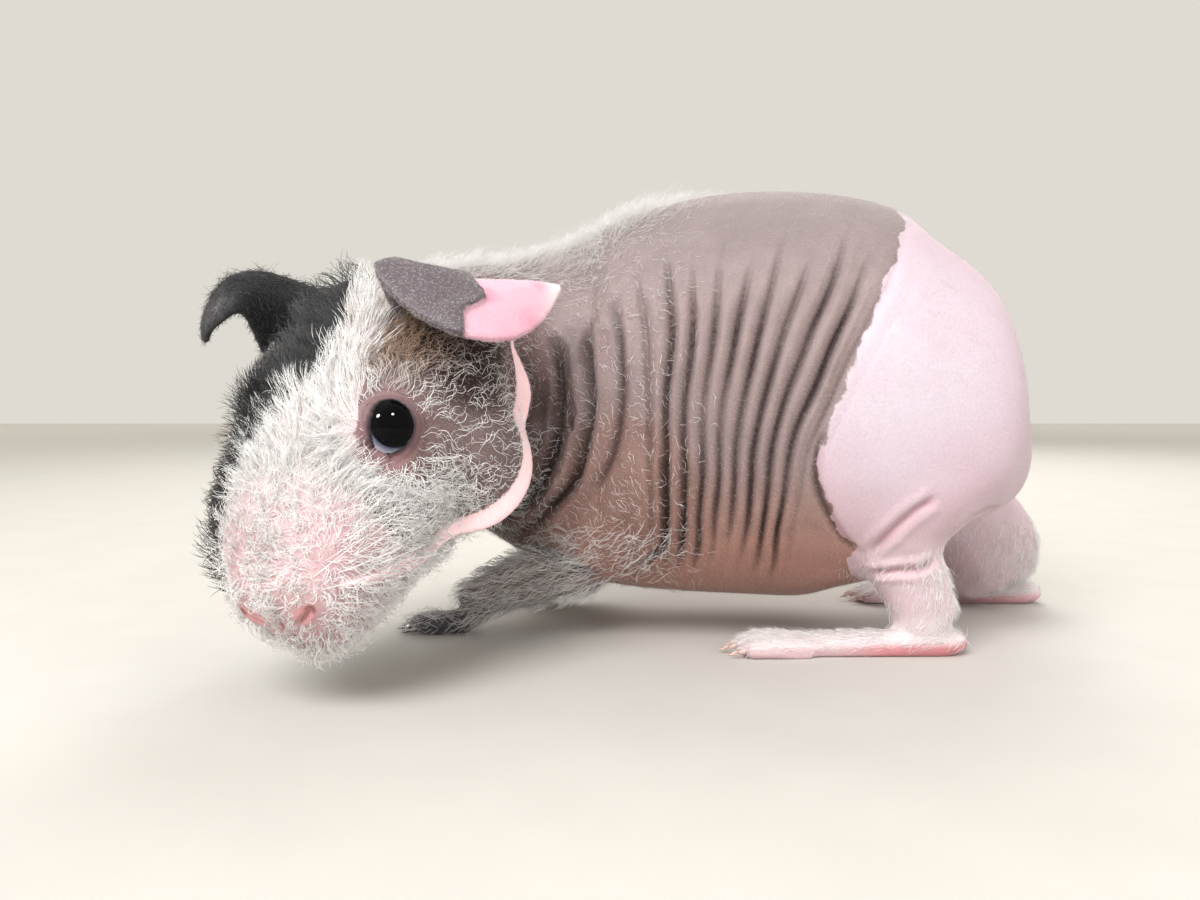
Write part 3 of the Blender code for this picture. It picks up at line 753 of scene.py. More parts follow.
def dark_tones(p, h, on, mark, crease, share):
    """The colour of the pigmented skin at each point: taupe, grey or black, with painted shade and highlight."""
    z, u = p[:, 2], h[:, 0]
    tone = painted(
        np.tile(srgb(152, 132, 131), (len(p), 1)),
        ((188, 134, 116), ramp(z, 36, 12) * 0.9),
        ((150, 136, 137), ramp(z, 56, 74) * 0.8),
        ((108, 82, 80), share["neck"] * 0.9),
        ((92, 62, 58), share["neck"] * ramp(z, 28, 20)),
        ((150, 114, 104), share["upper_arm"] * 0.7),
        ((142, 124, 122), share["forearm"]),
        ((78, 74, 80), share["hand"]),
        ((126, 105, 104), share["head"]),
        ((104, 80, 78), share["head"] * ramp(u, -33, -42)),
        ((102, 92, 98), on("ear_left") * 1.0),
    )
    for side in (1, -1):
        r, angle, gap = around_eye(h, side)[1:]
        near = ramp(r, 11, 8) * share["head"]
        pink = (0.25 + 0.6 * ramp(np.cos(angle - math.radians(222)), 0.1, 0.9)) * near
        # The lines of the lid folds, darkened below as painted shade.
        folds = bell(gap - 1.3, 0.25) + bell(gap - 2.45, 0.3) * 0.8
        tone = painted(
            tone,
            ((172, 126, 126), pink * ramp(gap, 5.5, 2.0)),
            ((132, 98, 104), near * ramp(gap, 1.6, 0.6) * 0.8),
            ((96, 66, 70), near * folds * 0.45),
            ((34, 26, 31), near * bell(gap, 0.17)),
        )
    # Round the ear's opening, under its flap, the skin is painted near-black brown: painted shade.
    ear_root = norms(h - CANAL)
    tone = painted(
        tone,
        ((46, 27, 24), ramp(ear_root, 12.5, 6.0) * (share["head"] + share["neck"])),
        ((17, 17, 20), ramp(mark["black"], -0.8, 0.6)),
        ((58, 56, 58), on("ear_right") * ramp(u, -44, -38)),
    )
    patch = noise(p, 9, 11) * 0.5 + noise(p, 3, 12) * 0.5 + noise(p * (1, 1, 0.3), 1.1, 17) * 0.5
    # Random mottling, and the skin lighter on the ridges between creases: painted highlight.
    patch = 0.12 * patch + 0.3 * np.clip(-crease, 0, 1)
    tone = tone * (1 + patch[:, None] * (1 - 0.8 * ramp(mark["black"], -1, 1))[:, None])
    # Dark brown in the creases and in the hollows of the fine wrinkles: painted shade.
    return mixed(tone, srgb(58, 36, 33) * 0.8, np.clip(crease, 0, 1) * 0.86)


def nostril_gap_at(h):
    """Distance from the nearer nostril."""
    return np.min([norms(h - NOSTRIL * (1, s, 1)) for s in (1, -1)], axis=0)


def pale_tones(p, h, on, mark, crease, share):
    """The colour of the unpigmented skin at each point: pink and pinkish white, with painted highlight and shade."""
    x, y, z = p.T
    u = h[:, 0]
    # Distance from a painted highlight in the middle of the near thigh, where the pale skin is lightest.
    thigh = norms((p - (28.0, -36.0, 50.0)) * (1.0, 0.4, 0.8))
    heel = ramp(x, 18, 30) * np.where(y > 0, 0.45 * ramp(x, 50, 60), 1)
    pinna = on("ear_left") * 1.0
    tone = painted(
        np.tile(srgb(222, 205, 217), (len(p), 1)),
        # Pinker away from that highlight and lower down: partly the skin's own pink, partly painted shade.
        ((215, 189, 200), ramp(thigh, 8, 30)),
        ((218, 184, 192), ramp(z, 34, 16) * 0.8),
        ((232, 206, 214), share["shank"] * 0.9),
        ((244, 228, 232), share["foot"]),
        ((230, 150, 158), share["foot"] * ramp(z, 3.2, 1.4) * (0.3 + 0.7 * heel)),
        ((226, 202, 207), share["head"]),
        ((222, 184, 188), share["head"] * ramp(u, -17, -9)),
        ((230, 168, 172), share["head"] * ramp(nose_gap_at(h), 2.6, 1.2)),
        # The nostrils deep red: partly their red lining, partly painted shade in the holes.
        ((118, 16, 32), ramp(nostril_gap_at(h), 1.15, 0.5)),
        ((240, 187, 205), pinna),
        ((238, 146, 172), pinna * 0.7 * ramp(noise(p, 3.4, 21), 0.0, 0.6)),
        ((255, 224, 226), pinna * ramp(x, -30, -26)),
    )
    patch = noise(p, 9, 13) * 0.6 + noise(p, 3, 14) * 0.4
    tone = tone * (1 + np.array((0.015, 0.085, 0.07)) * patch[:, None])
    freckle = ramp(noise(p, 1.1, 15), 0.66, 0.9) * ramp(noise(p, 14, 16), 0.1, 0.5)
    freckle = freckle * ramp(mark["rump"], 2, 6)
    tone = mixed(tone, srgb(186, 150, 152), freckle * 0.35)
    # Pinker and darker in the creases: painted shade.
    return mixed(tone, tone * srgb(220, 160, 165) / srgb(245, 215, 218), np.clip(crease, 0, 1) * 0.5)


def attribute(mesh, name, kind, values):
    layer = mesh.attributes.new(name, kind, "POINT")
    if kind == "FLOAT":
        layer.data.foreach_set("value", np.asarray(values, np.float32))
    else:
        rgba = np.ones((len(values), 4), np.float32)
        rgba[:, :3] = values
        layer.data.foreach_set("color", rgba.ravel())


def node_material(name):
    mat = bpy.data.materials.new(name)
    mat.use_nodes = True
    return mat, mat.node_tree, mat.node_tree.nodes["Principled BSDF"]


def feed(tree, node, inputs):
    """Sets the node's inputs, or links them where the value is another node's output."""
    for name, source in inputs.items():
        if hasattr(source, "is_output"):
            tree.links.new(source, node.inputs[name])
        else:
            node.inputs[name].default_value = source


def add(tree, kind, inputs=None, **settings):
    """A shader node with these inputs and, by name, these properties."""
    node = tree.nodes.new(kind)
    for key, value in settings.items():
        setattr(node, key, value)
    feed(tree, node, inputs or {})
    return node


def place_in(tree):
    return add(tree, "ShaderNodeTexCoord").outputs["Object"]


def layer_in(tree, name, output="Color"):
    """A colour or number that the mesh carries at its vertices."""
    return add(tree, "ShaderNodeAttribute", attribute_name=name).outputs[output]


def grain_in(tree, scale, detail):
    """A noise in the object's own coordinates. scale is its features to the metre."""
    inputs = {"Vector": place_in(tree), "Scale": scale, "Detail": detail}
    return add(tree, "ShaderNodeTexNoise", inputs).outputs["Fac"]


def spread(tree, grain, low, high):
    """The grain's usual values mapped to the range from low to high."""
    inputs = {"Value": grain, "From Min": 0.3, "From Max": 0.7, "To Min": low, "To Max": high}
    return add(tree, "ShaderNodeMapRange", inputs).outputs[0]


def scaled(tree, tone, factor):
    return add(tree, "ShaderNodeVectorMath", {0: tone, "Scale": factor}, operation="SCALE").outputs[0]


def bumped(tree, height, strength, distance):
    inputs = {"Height": height, "Strength": strength, "Distance": distance}
    return add(tree, "ShaderNodeBump", inputs).outputs["Normal"]


def skin_material():
    mat, tree, bsdf = node_material("skin")
    inputs = {0: grain_in(tree, 1500.0, 3.0), 1: 0.9, 2: layer_in(tree, "edge", "Fac")}
    ragged = add(tree, "ShaderNodeMath", inputs, operation="MULTIPLY_ADD").outputs[0]
    inputs = {"Value": ragged, "From Min": 0.27, "From Max": 0.63}
    share = add(tree, "ShaderNodeMapRange", inputs, interpolation_type="SMOOTHSTEP").outputs[0]
    inputs = {0: share, 6: layer_in(tree, "dark"), 7: layer_in(tree, "pale")}
    tone = add(tree, "ShaderNodeMix", inputs, data_type="RGBA").outputs[2]
    speckle = grain_in(tree, 2600.0, 4.0)
    cells = add(tree, "ShaderNodeTexVoronoi", {"Vector": place_in(tree), "Scale": 1900.0}, feature="F1")
    inputs = {0: cells.outputs["Distance"], 1: 0.6, 2: grain_in(tree, 4200.0, 2.0)}
    height = add(tree, "ShaderNodeMath", inputs, operation="MULTIPLY_ADD").outputs[0]
    inputs = {
        "Base Color": scaled(tree, tone, spread(tree, speckle, 0.93, 1.07)),
        "Normal": bumped(tree, height, 0.3, 0.0001),
        "Roughness": spread(tree, speckle, 0.5, 0.66),
        "Specular IOR Level": 0.38,
        "Subsurface Weight": 0.14,
        "Subsurface Radius": (0.8, 0.4, 0.3),
        "Subsurface Scale": 0.0011,
        "Sheen Weight": 0.12,
        "Sheen Roughness": 0.4,
    }
    feed(tree, bsdf, inputs)
    return mat


def toned_material(name, scale, detail, low, high, inputs):
    """A material of the mesh's own tones, from low to high times as bright with a grain."""
    mat, tree, bsdf = node_material(name)
    factor = spread(tree, grain_in(tree, scale, detail), low, high)
    feed(tree, bsdf, {"Base Color": scaled(tree, layer_in(tree, "tone"), factor), **inputs})
    return mat


skin = skin_form()
co = points_of(skin.data)
tris = triangles_of(skin.data)
edges = edges_of(skin.data)
on = parts_at(co)
share_of = shares_of_parts(on, edges)
co = lids(co, edges)
normals = normals_of(co, tris)
move, crease = flank_folds(co, on)
co = co + normals * move[:, None]
# Each fold's strength joins the creases, which the skin's colour darkens as painted shade.
for points, depth, width, lip in FOLDS:
    crease = np.maximum(crease, carve(co, normals, points, depth, width, lip))


CHEEK_REACH, CHEEK_HEIGHT, CHEEK_PINK = 7.0, 2.5, 1.6


def raise_cheek_fold(co, normals, crease):
    """Raises the pink fold behind the left cheek, in place. Returns each vertex's distance from its
    crest and the half width of its pink there."""
    near, across, side, place = along(co, normals, CHEEK_FOLD, 9.0)
    whole = np.full(len(co), np.nan)
    whole[near] = -across * side  # above 0 on the neck's side of the fold
    inner = edges[~np.isnan(whole[edges]).any(1)]
    used, local = np.unique(inner, return_inverse=True)
    whole[used] = relaxed(whole[used], local.reshape(-1, 2), 0.8, 60)
    reach = np.abs(whole[near]) < CHEEK_REACH
    near, place = near[reach], place[reach]
    signed = whole[near]
    fade = np.sin(math.pi * np.clip(place * 0.92 + 0.05, 0, 1)) ** 0.5
    ridge = CHEEK_HEIGHT * bell(signed - 1.3, 1.9) - 1.8 * bell(signed - 4.6, 0.9)
    co[near] += normals[near] * (ridge * fade)[:, None]
    # The groove behind the fold joins the creases, which the skin's colour darkens as painted shade.
    crease[near] = np.maximum(crease[near], bell(signed - 4.5, 1.1) * fade)
    gap = np.full(len(co), 9.0)
    gap[near] = np.abs(signed - 0.5)
    width = np.zeros(len(co))
    width[near] = CHEEK_PINK * fade
    return gap, width


cheek_gap, cheek_width = raise_cheek_fold(co, normals, crease)
for side in (1, -1):
    for points, depth, width in FACE_LINES:
        points = from_head(np.array(points) * (1, side, 1))
        carve(co, normals, points, depth, width, 0.25, reach=2.5)
    hole = norms(to_head(co) - NOSTRIL * (1, side, 1))
    co -= normals * (NOSTRIL_DEPTH * bell(hole, 0.62))[:, None]
    pad = norms((to_head(co) - PAD * (1, side, 1)) * (0.8, 1, 0.8))
    co += normals * (PAD_HEIGHT * bell(pad, 4.5) * on("head"))[:, None]
    canal = norms(to_head(co) - CANAL * (1, side, 1))
    co -= normals * (CANAL_DEPTH * bell(canal, 2.4) * on("head", "neck"))[:, None]

# Fuller forearms
full = share_of["forearm"] * (1 - 0.4 * share_of["hand"]) * ramp(normals[:, 2], 0.0, 0.6)
co = co + normals * (ARM_HEIGHT * full)[:, None]
head_co = to_head(co)
mark = marks(co, on)
# The right brow and cheek, fuller under the black fur
outer = ramp(normals @ HEAD.T @ unit((0.22, -0.91, 0.35)), 0.1, 0.8) * on("head")
outer = outer * ramp(head_co[:, 0], -40, -30) * ramp(head_co[:, 0], -4, -10)
outer = outer * ramp(around_eye(head_co, -1)[3], 0.6, 4.0)
co = co + normals * relaxed(BROW_HEIGHT * outer, edges, 0.8, 20)[:, None]
# The left ear's pale lobe, standing a little over the dark part's edge
upper = on("ear_left") * ramp(normals @ unit((-0.2, -0.6, 0.75)), -0.1, 0.3)
lobe = ramp(mark["pinna"], -6.0, -0.6) * ramp(mark["pinna"], 0.3, -0.3)
co = co + normals * (LOBE_HEIGHT * upper * lobe)[:, None]

pale_edge = np.max([mark["rump"], mark["blaze"], mark["pinna"], cheek_width - cheek_gap], axis=0)
set_points(skin.data, co)
skin.data.polygons.foreach_set("use_smooth", np.full(len(skin.data.polygons), True))
skin.data.update()
normals = normals_of(co, tris)
dark = dark_tones(co, head_co, on, mark, crease, share_of)
pale = pale_tones(co, head_co, on, mark, crease, share_of)
# The crest of the pink fold behind the left cheek is painted brighter than full light leaves any skin: painted light
# on skin that faces away from the lamps.
pale = mixed(pale, 1.6 * srgb(250, 212, 216), ramp(cheek_width - cheek_gap, -0.8, 0.4))
attribute(skin.data, "dark", "FLOAT_COLOR", SKIN_DEPTH * dark)
attribute(skin.data, "pale", "FLOAT_COLOR", SKIN_DEPTH * pale)
attribute(skin.data, "edge", "FLOAT", np.clip(pale_edge, -4, 4))
skin.data.materials.clear()
skin.data.materials.append(skin_material())
thinned(skin, SKIN_FACES)
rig.ride(skin, "root")
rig.replaces(skin, *FLESH)
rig.slot(skin, "skin")

# ---- Coat ----
rng = np.random.default_rng(11)
PATCH = 0.003  # the size of each hair's patch on the coat's map
UNWRAP_VOXEL = 1.8


def unwrapped():
    """A coarse copy of the skin, unwrapped: its tree, triangles' corners and their map places."""
    copy = mesh_object("unwrap", co, tris)
    remeshed(copy, UNWRAP_VOXEL)
    bpy.context.view_layer.objects.active = copy
    copy.select_set(True)
    bpy.ops.object.mode_set(mode="EDIT")
    bpy.ops.mesh.select_all(action="SELECT")
    bpy.ops.uv.smart_project(angle_limit=math.radians(66), island_margin=0.006)
    bpy.ops.object.mode_set(mode="OBJECT")
    mesh = copy.data
    faces = triangles_of(mesh)
    loops = rows_of(mesh.loop_triangles, "loops", np.int32, 3)
    uv = rows_of(mesh.uv_layers.active.data, "uv", np.float32, 2)[loops]
    corners = points_of(mesh)
    tree = BVHTree.FromPolygons(corners.tolist(), faces.tolist())
    bpy.data.objects.remove(copy)
    return tree, corners[faces], uv


UNWRAP = unwrapped()


def map_places(spots):
    """Where each root lies on the unwrapped skin."""
    tree, corners, uv = UNWRAP
    found = [tree.find_nearest(p) for p in spots.tolist()]
    face = np.array([f[2] for f in found])
    q = np.array([tuple(f[0]) for f in found])
    a, b, c = (corners[face, k] for k in range(3))
    n = np.cross(b - a, c - a)
    size = np.maximum((n * n).sum(1), 1e-12)
    wb = (np.cross(q - a, c - a) * n).sum(1) / size
    wc = (np.cross(b - a, q - a) * n).sum(1) / size
    share = np.clip(np.stack((1 - wb - wc, wb, wc), 1), 0, 1)
    return (uv[face] * (share / share.sum(1, keepdims=True))[:, :, None]).sum(1)


AREAS = norms(np.cross(co[tris[:, 1]] - co[tris[:, 0]], co[tris[:, 2]] - co[tris[:, 0]])) / 2


class Roots:
    """Where one piece's hairs grow: places, normals and, if known, triangles and shares of their
    corners."""

    def __init__(self, spots, ups, pick=None, share=None):
        self.spots, self.ups, self.pick, self.share = spots, ups, pick, share
        self.n = len(spots)
        self.h = to_head(spots)

    def at(self, values):
        """A per-vertex number at the roots."""
        return (values[tris[self.pick]] * self.share).sum(1)


def scattered(density, count):
    """count roots on the skin. density is per vertex."""
    weight = np.clip(density[tris].mean(1), 0, None) * AREAS
    total = np.cumsum(weight)
    pick = np.searchsorted(total, (np.arange(count) + rng.random(count)) / count * total[-1])
    pick = np.minimum(pick, len(tris) - 1)
    a = rng.random((count, 2))
    a = np.where(a.sum(1, keepdims=True) > 1, 1 - a, a)
    share = np.stack((1 - a.sum(1), a[:, 0], a[:, 1]), 1)
    corner = tris[pick]
    spots = (co[corner] * share[:, :, None]).sum(1)
    return Roots(spots, unit((normals[corner] * share[:, :, None]).sum(1)), pick, share)


def locks_of(spots, count):
    """Which root each root's lock is gathered round."""
    centre = rng.choice(len(spots), count, replace=False)
    tree = KDTree(count)
    for i, c in enumerate(centre.tolist()):
        tree.insert(spots[c], i)
    tree.balance()
    return centre[[tree.find(p)[1] for p in spots.tolist()]]


class Hair:
    """How one piece of the coat grows. Pairs are the least and most. The length and the curl's and
    the hair's radii are in millimetres, the lift in degrees from the skin, and droop is the share of
    it lost at the tip. parts is the number of lengths in a hair, locks the number of locks to a hair,
    and hold how far a hair follows its lock."""

    def __init__(self, length, lift, droop, curl, turns, radius, parts, locks=0.0, hold=0.6):
        self.length, self.lift, self.droop, self.curl = length, lift, droop, curl
        self.turns, self.radius, self.parts, self.locks, self.hold = turns, radius, parts, locks, hold


def some(pair, n):
    return pair[0] + (pair[1] - pair[0]) * rng.random(n)


ROOT_DEPTH = 0.12  # how deep a hair starts in the skin


def hair_points(roots, lie, hair, longer, flatter):
    """Each hair's points: rings of three from the root on, and the tip."""
    n, spots, ups, parts = roots.n, roots.spots, roots.ups, hair.parts
    length, lift = some(hair.length, n) * longer, np.radians(some(hair.lift, n)) * (1 - flatter)
    droop, curl, turns = some(hair.droop, n), some(hair.curl, n), some(hair.turns, n)
    radius, phase, spin = some(hair.radius, n), rng.random(n), rng.choice((-1.0, 1.0), n)
    pull = np.zeros((n, 3))
    if hair.locks:
        lock = locks_of(spots, int(n * hair.locks))
        spin = spin[lock]
        phase = phase[lock] + 0.25 * rng.random(n)
        lie = lie + hair.hold * (lie[lock] - lie)
        length, lift, droop, curl, turns = (
            v + hair.hold * (v[lock] - v) for v in (length, lift, droop, curl, turns)
        )
        pull = (spots[lock] - spots) * hair.hold
    lie = unit(lie - (lie * ups).sum(1, keepdims=True) * ups)
    side = np.cross(lie, ups)
    s = np.linspace(0, 1, parts + 1)
    angle = lift[:, None] * (1 - droop[:, None] * s)
    step = length[:, None] / parts
    x = np.cumsum(np.cos(angle) * step, 1) - np.cos(angle[:, :1]) * step
    z = np.cumsum(np.sin(angle) * step, 1) - np.sin(angle[:, :1]) * step
    start = phase[:, None] * 2 * math.pi
    turn = start + (spin * turns)[:, None] * 2 * math.pi * s
    swing = curl[:, None] * np.minimum(s * 1.8, 1.0)
    cx = swing * (np.cos(turn) - np.cos(start))
    cz = swing * (np.sin(turn) - np.sin(start)) * 0.8
    path = spots[:, None] - ups[:, None] * ROOT_DEPTH + pull[:, None] * (s**1.4)[None, :, None]
    path = path + lie[:, None] * x[:, :, None]
    path = path + ups[:, None] * (z + np.maximum(cz, -0.6 * z))[:, :, None]
    path = path + side[:, None] * cx[:, :, None]
    way = unit(np.gradient(path, axis=1))
    guide = unit(side + 0.3 * ups)[:, None]
    across = unit(np.cross(way, np.broadcast_to(guide, way.shape)))
    over = np.cross(way, across)
    thick = radius[:, None] * (1 - 0.75 * s) ** 0.8
    rings = []
    for k in range(3):
        a = 2 * math.pi * k / 3
        offset = across * math.cos(a) + over * math.sin(a)
        rings.append(path[:, :-1] + offset[:, :-1] * thick[:, :-1, None])
    body = np.stack(rings, 2).reshape(n, parts * 3, 3)
    return np.concatenate((body, path[:, -1:]), 1)


def hair_net(parts):
    """One hair's triangles, and their corners' places round it and along it, from -0.5 to 0.5."""
    faces, around, up = [], [], []
    for i in range(parts - 1):
        for k in range(3):
            a, b = i * 3 + k, i * 3 + (k + 1) % 3
            faces += [(a, b, b + 3), (a, b + 3, a + 3)]
            around += [(k, k + 1, k + 1), (k, k + 1, k)]
            up += [(i, i, i + 1), (i, i + 1, i + 1)]
    last = (parts - 1) * 3
    for k in range(3):
        faces.append((last + k, last + (k + 1) % 3, parts * 3))
        around.append((k, k + 1, k + 0.5))
        up.append((parts - 1, parts - 1, parts))
    return np.array(faces), np.array(around, float) / 3 - 0.5, np.array(up, float) / parts - 0.5


def strands(name, roots, lie, hair, root_tone, tip_tone, longer=1.0, flatter=0.0):
    """Tapered, curled, three-sided hairs as one mesh, gathered in locks whose tips meet."""
    points = hair_points(roots, lie, hair, longer, flatter)
    faces, around, up = hair_net(hair.parts)
    every = np.arange(roots.n)[:, None, None] * points.shape[1] + faces
    obj = mesh_object(name, points.reshape(-1, 3), every.reshape(-1, 3))
    s = np.linspace(0, 1, hair.parts + 1)
    share = np.append(np.repeat(s[:-1], 3), 1.0)[None, :, None] ** 0.7
    tone = root_tone[:, None] * (1 - share) + tip_tone[:, None] * share
    attribute(obj.data, "tone", "FLOAT_COLOR", tone.reshape(-1, 3))
    centre = map_places(roots.spots)[:, :, None, None]
    uv = np.stack((centre[:, 0] + around * PATCH, centre[:, 1] + up * PATCH), -1)
    obj.data.uv_layers.new(name="OFBake").data.foreach_set("uv", uv.astype(np.float32).ravel())
    obj.data.materials.append(COAT)
    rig.ride(obj, "root")
    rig.slot(obj, "coat")


COAT = toned_material(
    "coat", 700.0, 2.0, 0.85, 1.08, {"Roughness": 0.42, "Specular IOR Level": 0.4, "Sheen Weight": 0.2}
)
WHITE = srgb(246, 244, 243)
GREY = srgb(196, 188, 187)
TAN = srgb(158, 116, 76)
BLACK = srgb(22, 21, 24)
U, W = head_co[:, 0], head_co[:, 2]
X, Y, Z = co.T
on_head = on("head") * 1.0
eye_gap = np.min([around_eye(head_co, side)[3] for side in (1, -1)], axis=0)
bare_eye = ramp(eye_gap, 0.9, 2.3)
nose_gap = nose_gap_at(head_co)
bare_nose = ramp(nose_gap, 0.8, 1.7) * ramp(nostril_gap_at(head_co), 1.0, 2.0)
pale_face = ramp(mark["blaze"], -0.8, 0.8) * on_head
black_face = ramp(mark["black"], -0.5, 0.5)
by_fold = ramp(cheek_gap - cheek_width, 0.0, 1.2)
# Hairs in each piece. One of n lengths has 6n - 3 triangles, and no piece has 200,000.
HAIRS = {"muzzle": 4200, "blaze": 4400, "cheeks": 2700, "black": 5900, "neck": 9300}
HAIRS |= {"arms": 4000, "feet": 5500, "ears": 9500, "velvet": 44000}


def shades(n, base, spread=0.07):
    return base * (1 + spread * (rng.random((n, 1)) * 2 - 1))


def lies(n, way, spread):
    return np.tile(way, (n, 1)) + spread * rng.normal(size=(n, 3))


def off_the_eye(h, lie):
    """Turns the lie of the hairs near an eye or a nostril away from it."""
    for side in (1, -1):
        d, r = around_eye(h, side)[:2]
        lie = lie + 2.2 * ramp(r, 11.5, 7.0)[:, None] * d
        off = h - NOSE_BARE * (1, side, 1)
        lie = lie + 2.5 * ramp(norms(off), 4.5, 2.5)[:, None] * unit(off)
    return lie


# Muzzle: dense, curly, white, standing away from a whorl on each side.
density = on_head * bare_eye * bare_nose * ramp(U, -25, -14) * (1 - black_face)
roots = scattered(density, HAIRS["muzzle"])
h, n = roots.h, roots.n
whorl = np.where(h[:, 1:2] > 0, 1, -1) * np.array((0, 8.6, 0)) + np.array((-6.5, 0, 5.8))
lie = off_the_eye(h, 0.8 * unit(h - whorl) + lies(n, (-0.4, 0, 0), 0.7)) @ HEAD
near_nose = ramp(roots.at(nose_gap), 6.0, 2.0)
hair = Hair((2.6, 4.4), (28, 60), (0.4, 1.3), (0.3, 0.7), (0.8, 1.5), (0.05, 0.068), 8, 0.3, 0.5)
tones = shades(n, WHITE * 0.9), shades(n, WHITE)
strands("coat_muzzle", roots, lie, hair, *tones, longer=1 - 0.65 * near_nose, flatter=0.5 * near_nose)

# Blaze and crown: long white locks that fan over the black side and back over the crown.
roots = scattered(on_head * bare_eye * ramp(U, -12, -18) * pale_face, HAIRS["blaze"])
h, n = roots.h, roots.n
middle_line = (along_table(BLACK_EDGE, h[:, 0]) + along_table(BLAZE_EDGE, h[:, 0])) / 2
lie = lies(n, (-0.8, 0, 0), 0.25)
lean = -0.1 - 0.75 * ramp(h[:, 0], -29, -20)
lie[:, 1] += np.clip((h[:, 1] - middle_line) / 3, lean, 0.9)
lie = off_the_eye(h, lie) @ HEAD
hair = Hair((3.6, 6.4), (16, 42), (0.2, 1.0), (0.15, 0.5), (0.4, 1.0), (0.045, 0.065), 7, 0.14, 0.65)
strands("coat_blaze", roots, lie, hair, shades(n, WHITE * 0.93), shades(n, WHITE))

# Cheeks: woolly white curls on grey skin, thickest below the eye, with tan hairs before the ear.
density = on_head * bare_eye * by_fold * (1 - black_face) * (1 - pale_face) * ramp(U, -52, -46)
thick = ramp(U, -30, -17) * 0.9 + ramp(W, 6, -4) * ramp(U, -32, -20) * 0.45 + ramp(W, 6, 13) * 0.5 + 0.1
roots = scattered(density * thick * (0.75 + 0.35 * noise(co, 4.0, 31)), HAIRS["cheeks"])
h, n = roots.h, roots.n
lie = off_the_eye(h, lies(n, (-0.7, 0.2, -0.35), 0.6)) @ HEAD
brow = ramp(h[:, 2], 6, 12)
tan = brow * ramp(h[:, 0], -28, -35)
hair = Hair((2.2, 4.2), (18, 55), (0.3, 1.2), (0.35, 0.8), (0.9, 1.5), (0.04, 0.058), 8, 0.3, 0.5)
root_tone = mixed(shades(n, WHITE * 0.8), TAN * 0.35, tan * 0.95)
tip_tone = mixed(shades(n, WHITE), TAN * 1.15, tan * 0.85)
strands("coat_cheeks", roots, lie, hair, root_tone, tip_tone, longer=1 + 0.35 * brow)

# Black side of the face and the right ear's root.
hairy = np.clip(share_of["head"] + share_of["neck"], 0, 1) * (1 - on("ear"))
density = hairy * ramp(eye_gap, 0.3, 0.9) * black_face * (0.7 + ramp(U, -32, -20))
density = density * (1 + 1.5 * ramp(around_eye(head_co, -1)[1], 12, 7))
roots = scattered(density, HAIRS["black"])
n = roots.n
lie = off_the_eye(roots.h, lies(n, (-0.3, -0.5, 0.3), 0.4)) @ HEAD
hair = Hair((3.2, 5.6), (35, 72), (0.2, 0.9), (0.1, 0.4), (0.4, 1.2), (0.055, 0.08), 6, 0.2, 0.5)
strands("coat_black", roots, lie, hair, shades(n, BLACK, 0.3), shades(n, BLACK * 1.3, 0.3))

# Neck, shoulders and the line of the back: thin curled white hairs, closest along the nape.
loose = on("trunk", "neck", *UPPER_ARMS) * (1 - black_face)
crest = ramp(Z, 58, 68) * ramp(X, 6, -12) * ramp(np.abs(Y + 1.5 - 0.25 * X), 16, 8)
shoulder = ramp(X, 0, -14) * (0.45 + 0.3 * noise(co, 5.0, 32))
density = loose * (np.clip(shoulder, 0, 1) + crest * 1.8) * ramp(crease, 0.6, 0.3) * by_fold
roots = scattered(density, HAIRS["neck"])
n = roots.n
on_crest = roots.at(crest)
lie = lies(n, (0.8, 0.0, -0.55), 0.5)
hair = Hair((1.3, 2.6), (14, 38), (0.2, 1.0), (0.15, 0.4), (0.5, 1.0), (0.028, 0.042), 4, 0.3, 0.4)
tones = shades(n, WHITE * 0.8), shades(n, WHITE)
strands("coat_neck", roots, lie, hair, *tones, longer=1 + 1.2 * on_crest, flatter=-0.9 * on_crest)

# Forearms and hands.
density = share_of["forearm"] * ramp(Z, 0.4, 1.2) * (1 - 0.5 * share_of["hand"])
density = density + 0.5 * share_of["upper_arm"] * ramp(Z, 24, 17) * ramp(normals[:, 0], 0.4, -0.3)
roots = scattered(density, HAIRS["arms"])
n = roots.n
hand = roots.at(share_of["hand"])
lie = lies(n, (-0.95, 0.0, -0.3), 0.4)
hair = Hair((3.0, 5.0), (18, 46), (0.3, 1.0), (0.2, 0.6), (0.5, 1.3), (0.04, 0.06), 7, 0.2, 0.5)
tones = shades(n, GREY * 0.95), shades(n, WHITE, 0.1)
strands("coat_arms", roots, lie, hair, *tones, longer=1 - 0.3 * hand, flatter=0.35 * hand)

# Hind feet, heels and shanks.
rear_side = ramp(normals[:, 0], -0.2, 0.5)
top_side = ramp(normals[:, 2], -0.35, 0.2)
shank = np.clip(share_of["shank"] - share_of["foot"], 0, 1)
density = share_of["foot"] * top_side * ramp(Z, 1.2, 2.2) + shank * (0.12 + rear_side)
roots = scattered(density * ramp(Z, 21, 15), HAIRS["feet"])
n = roots.n
foot = roots.at(share_of["foot"])[:, None]
lie = np.array((-0.25, 0.0, -0.9)) * (1 - foot) + np.array((-1.0, 0.0, -0.1)) * foot
lie = lie + 0.22 * rng.normal(size=(n, 3))
hair = Hair((1.6, 3.2), (12, 34), (0.2, 1.0), (0.05, 0.25), (0.3, 0.8), (0.036, 0.05), 4, 0.2, 0.4)
strands("coat_feet", roots, lie, hair, shades(n, WHITE * 0.94), shades(n, WHITE))

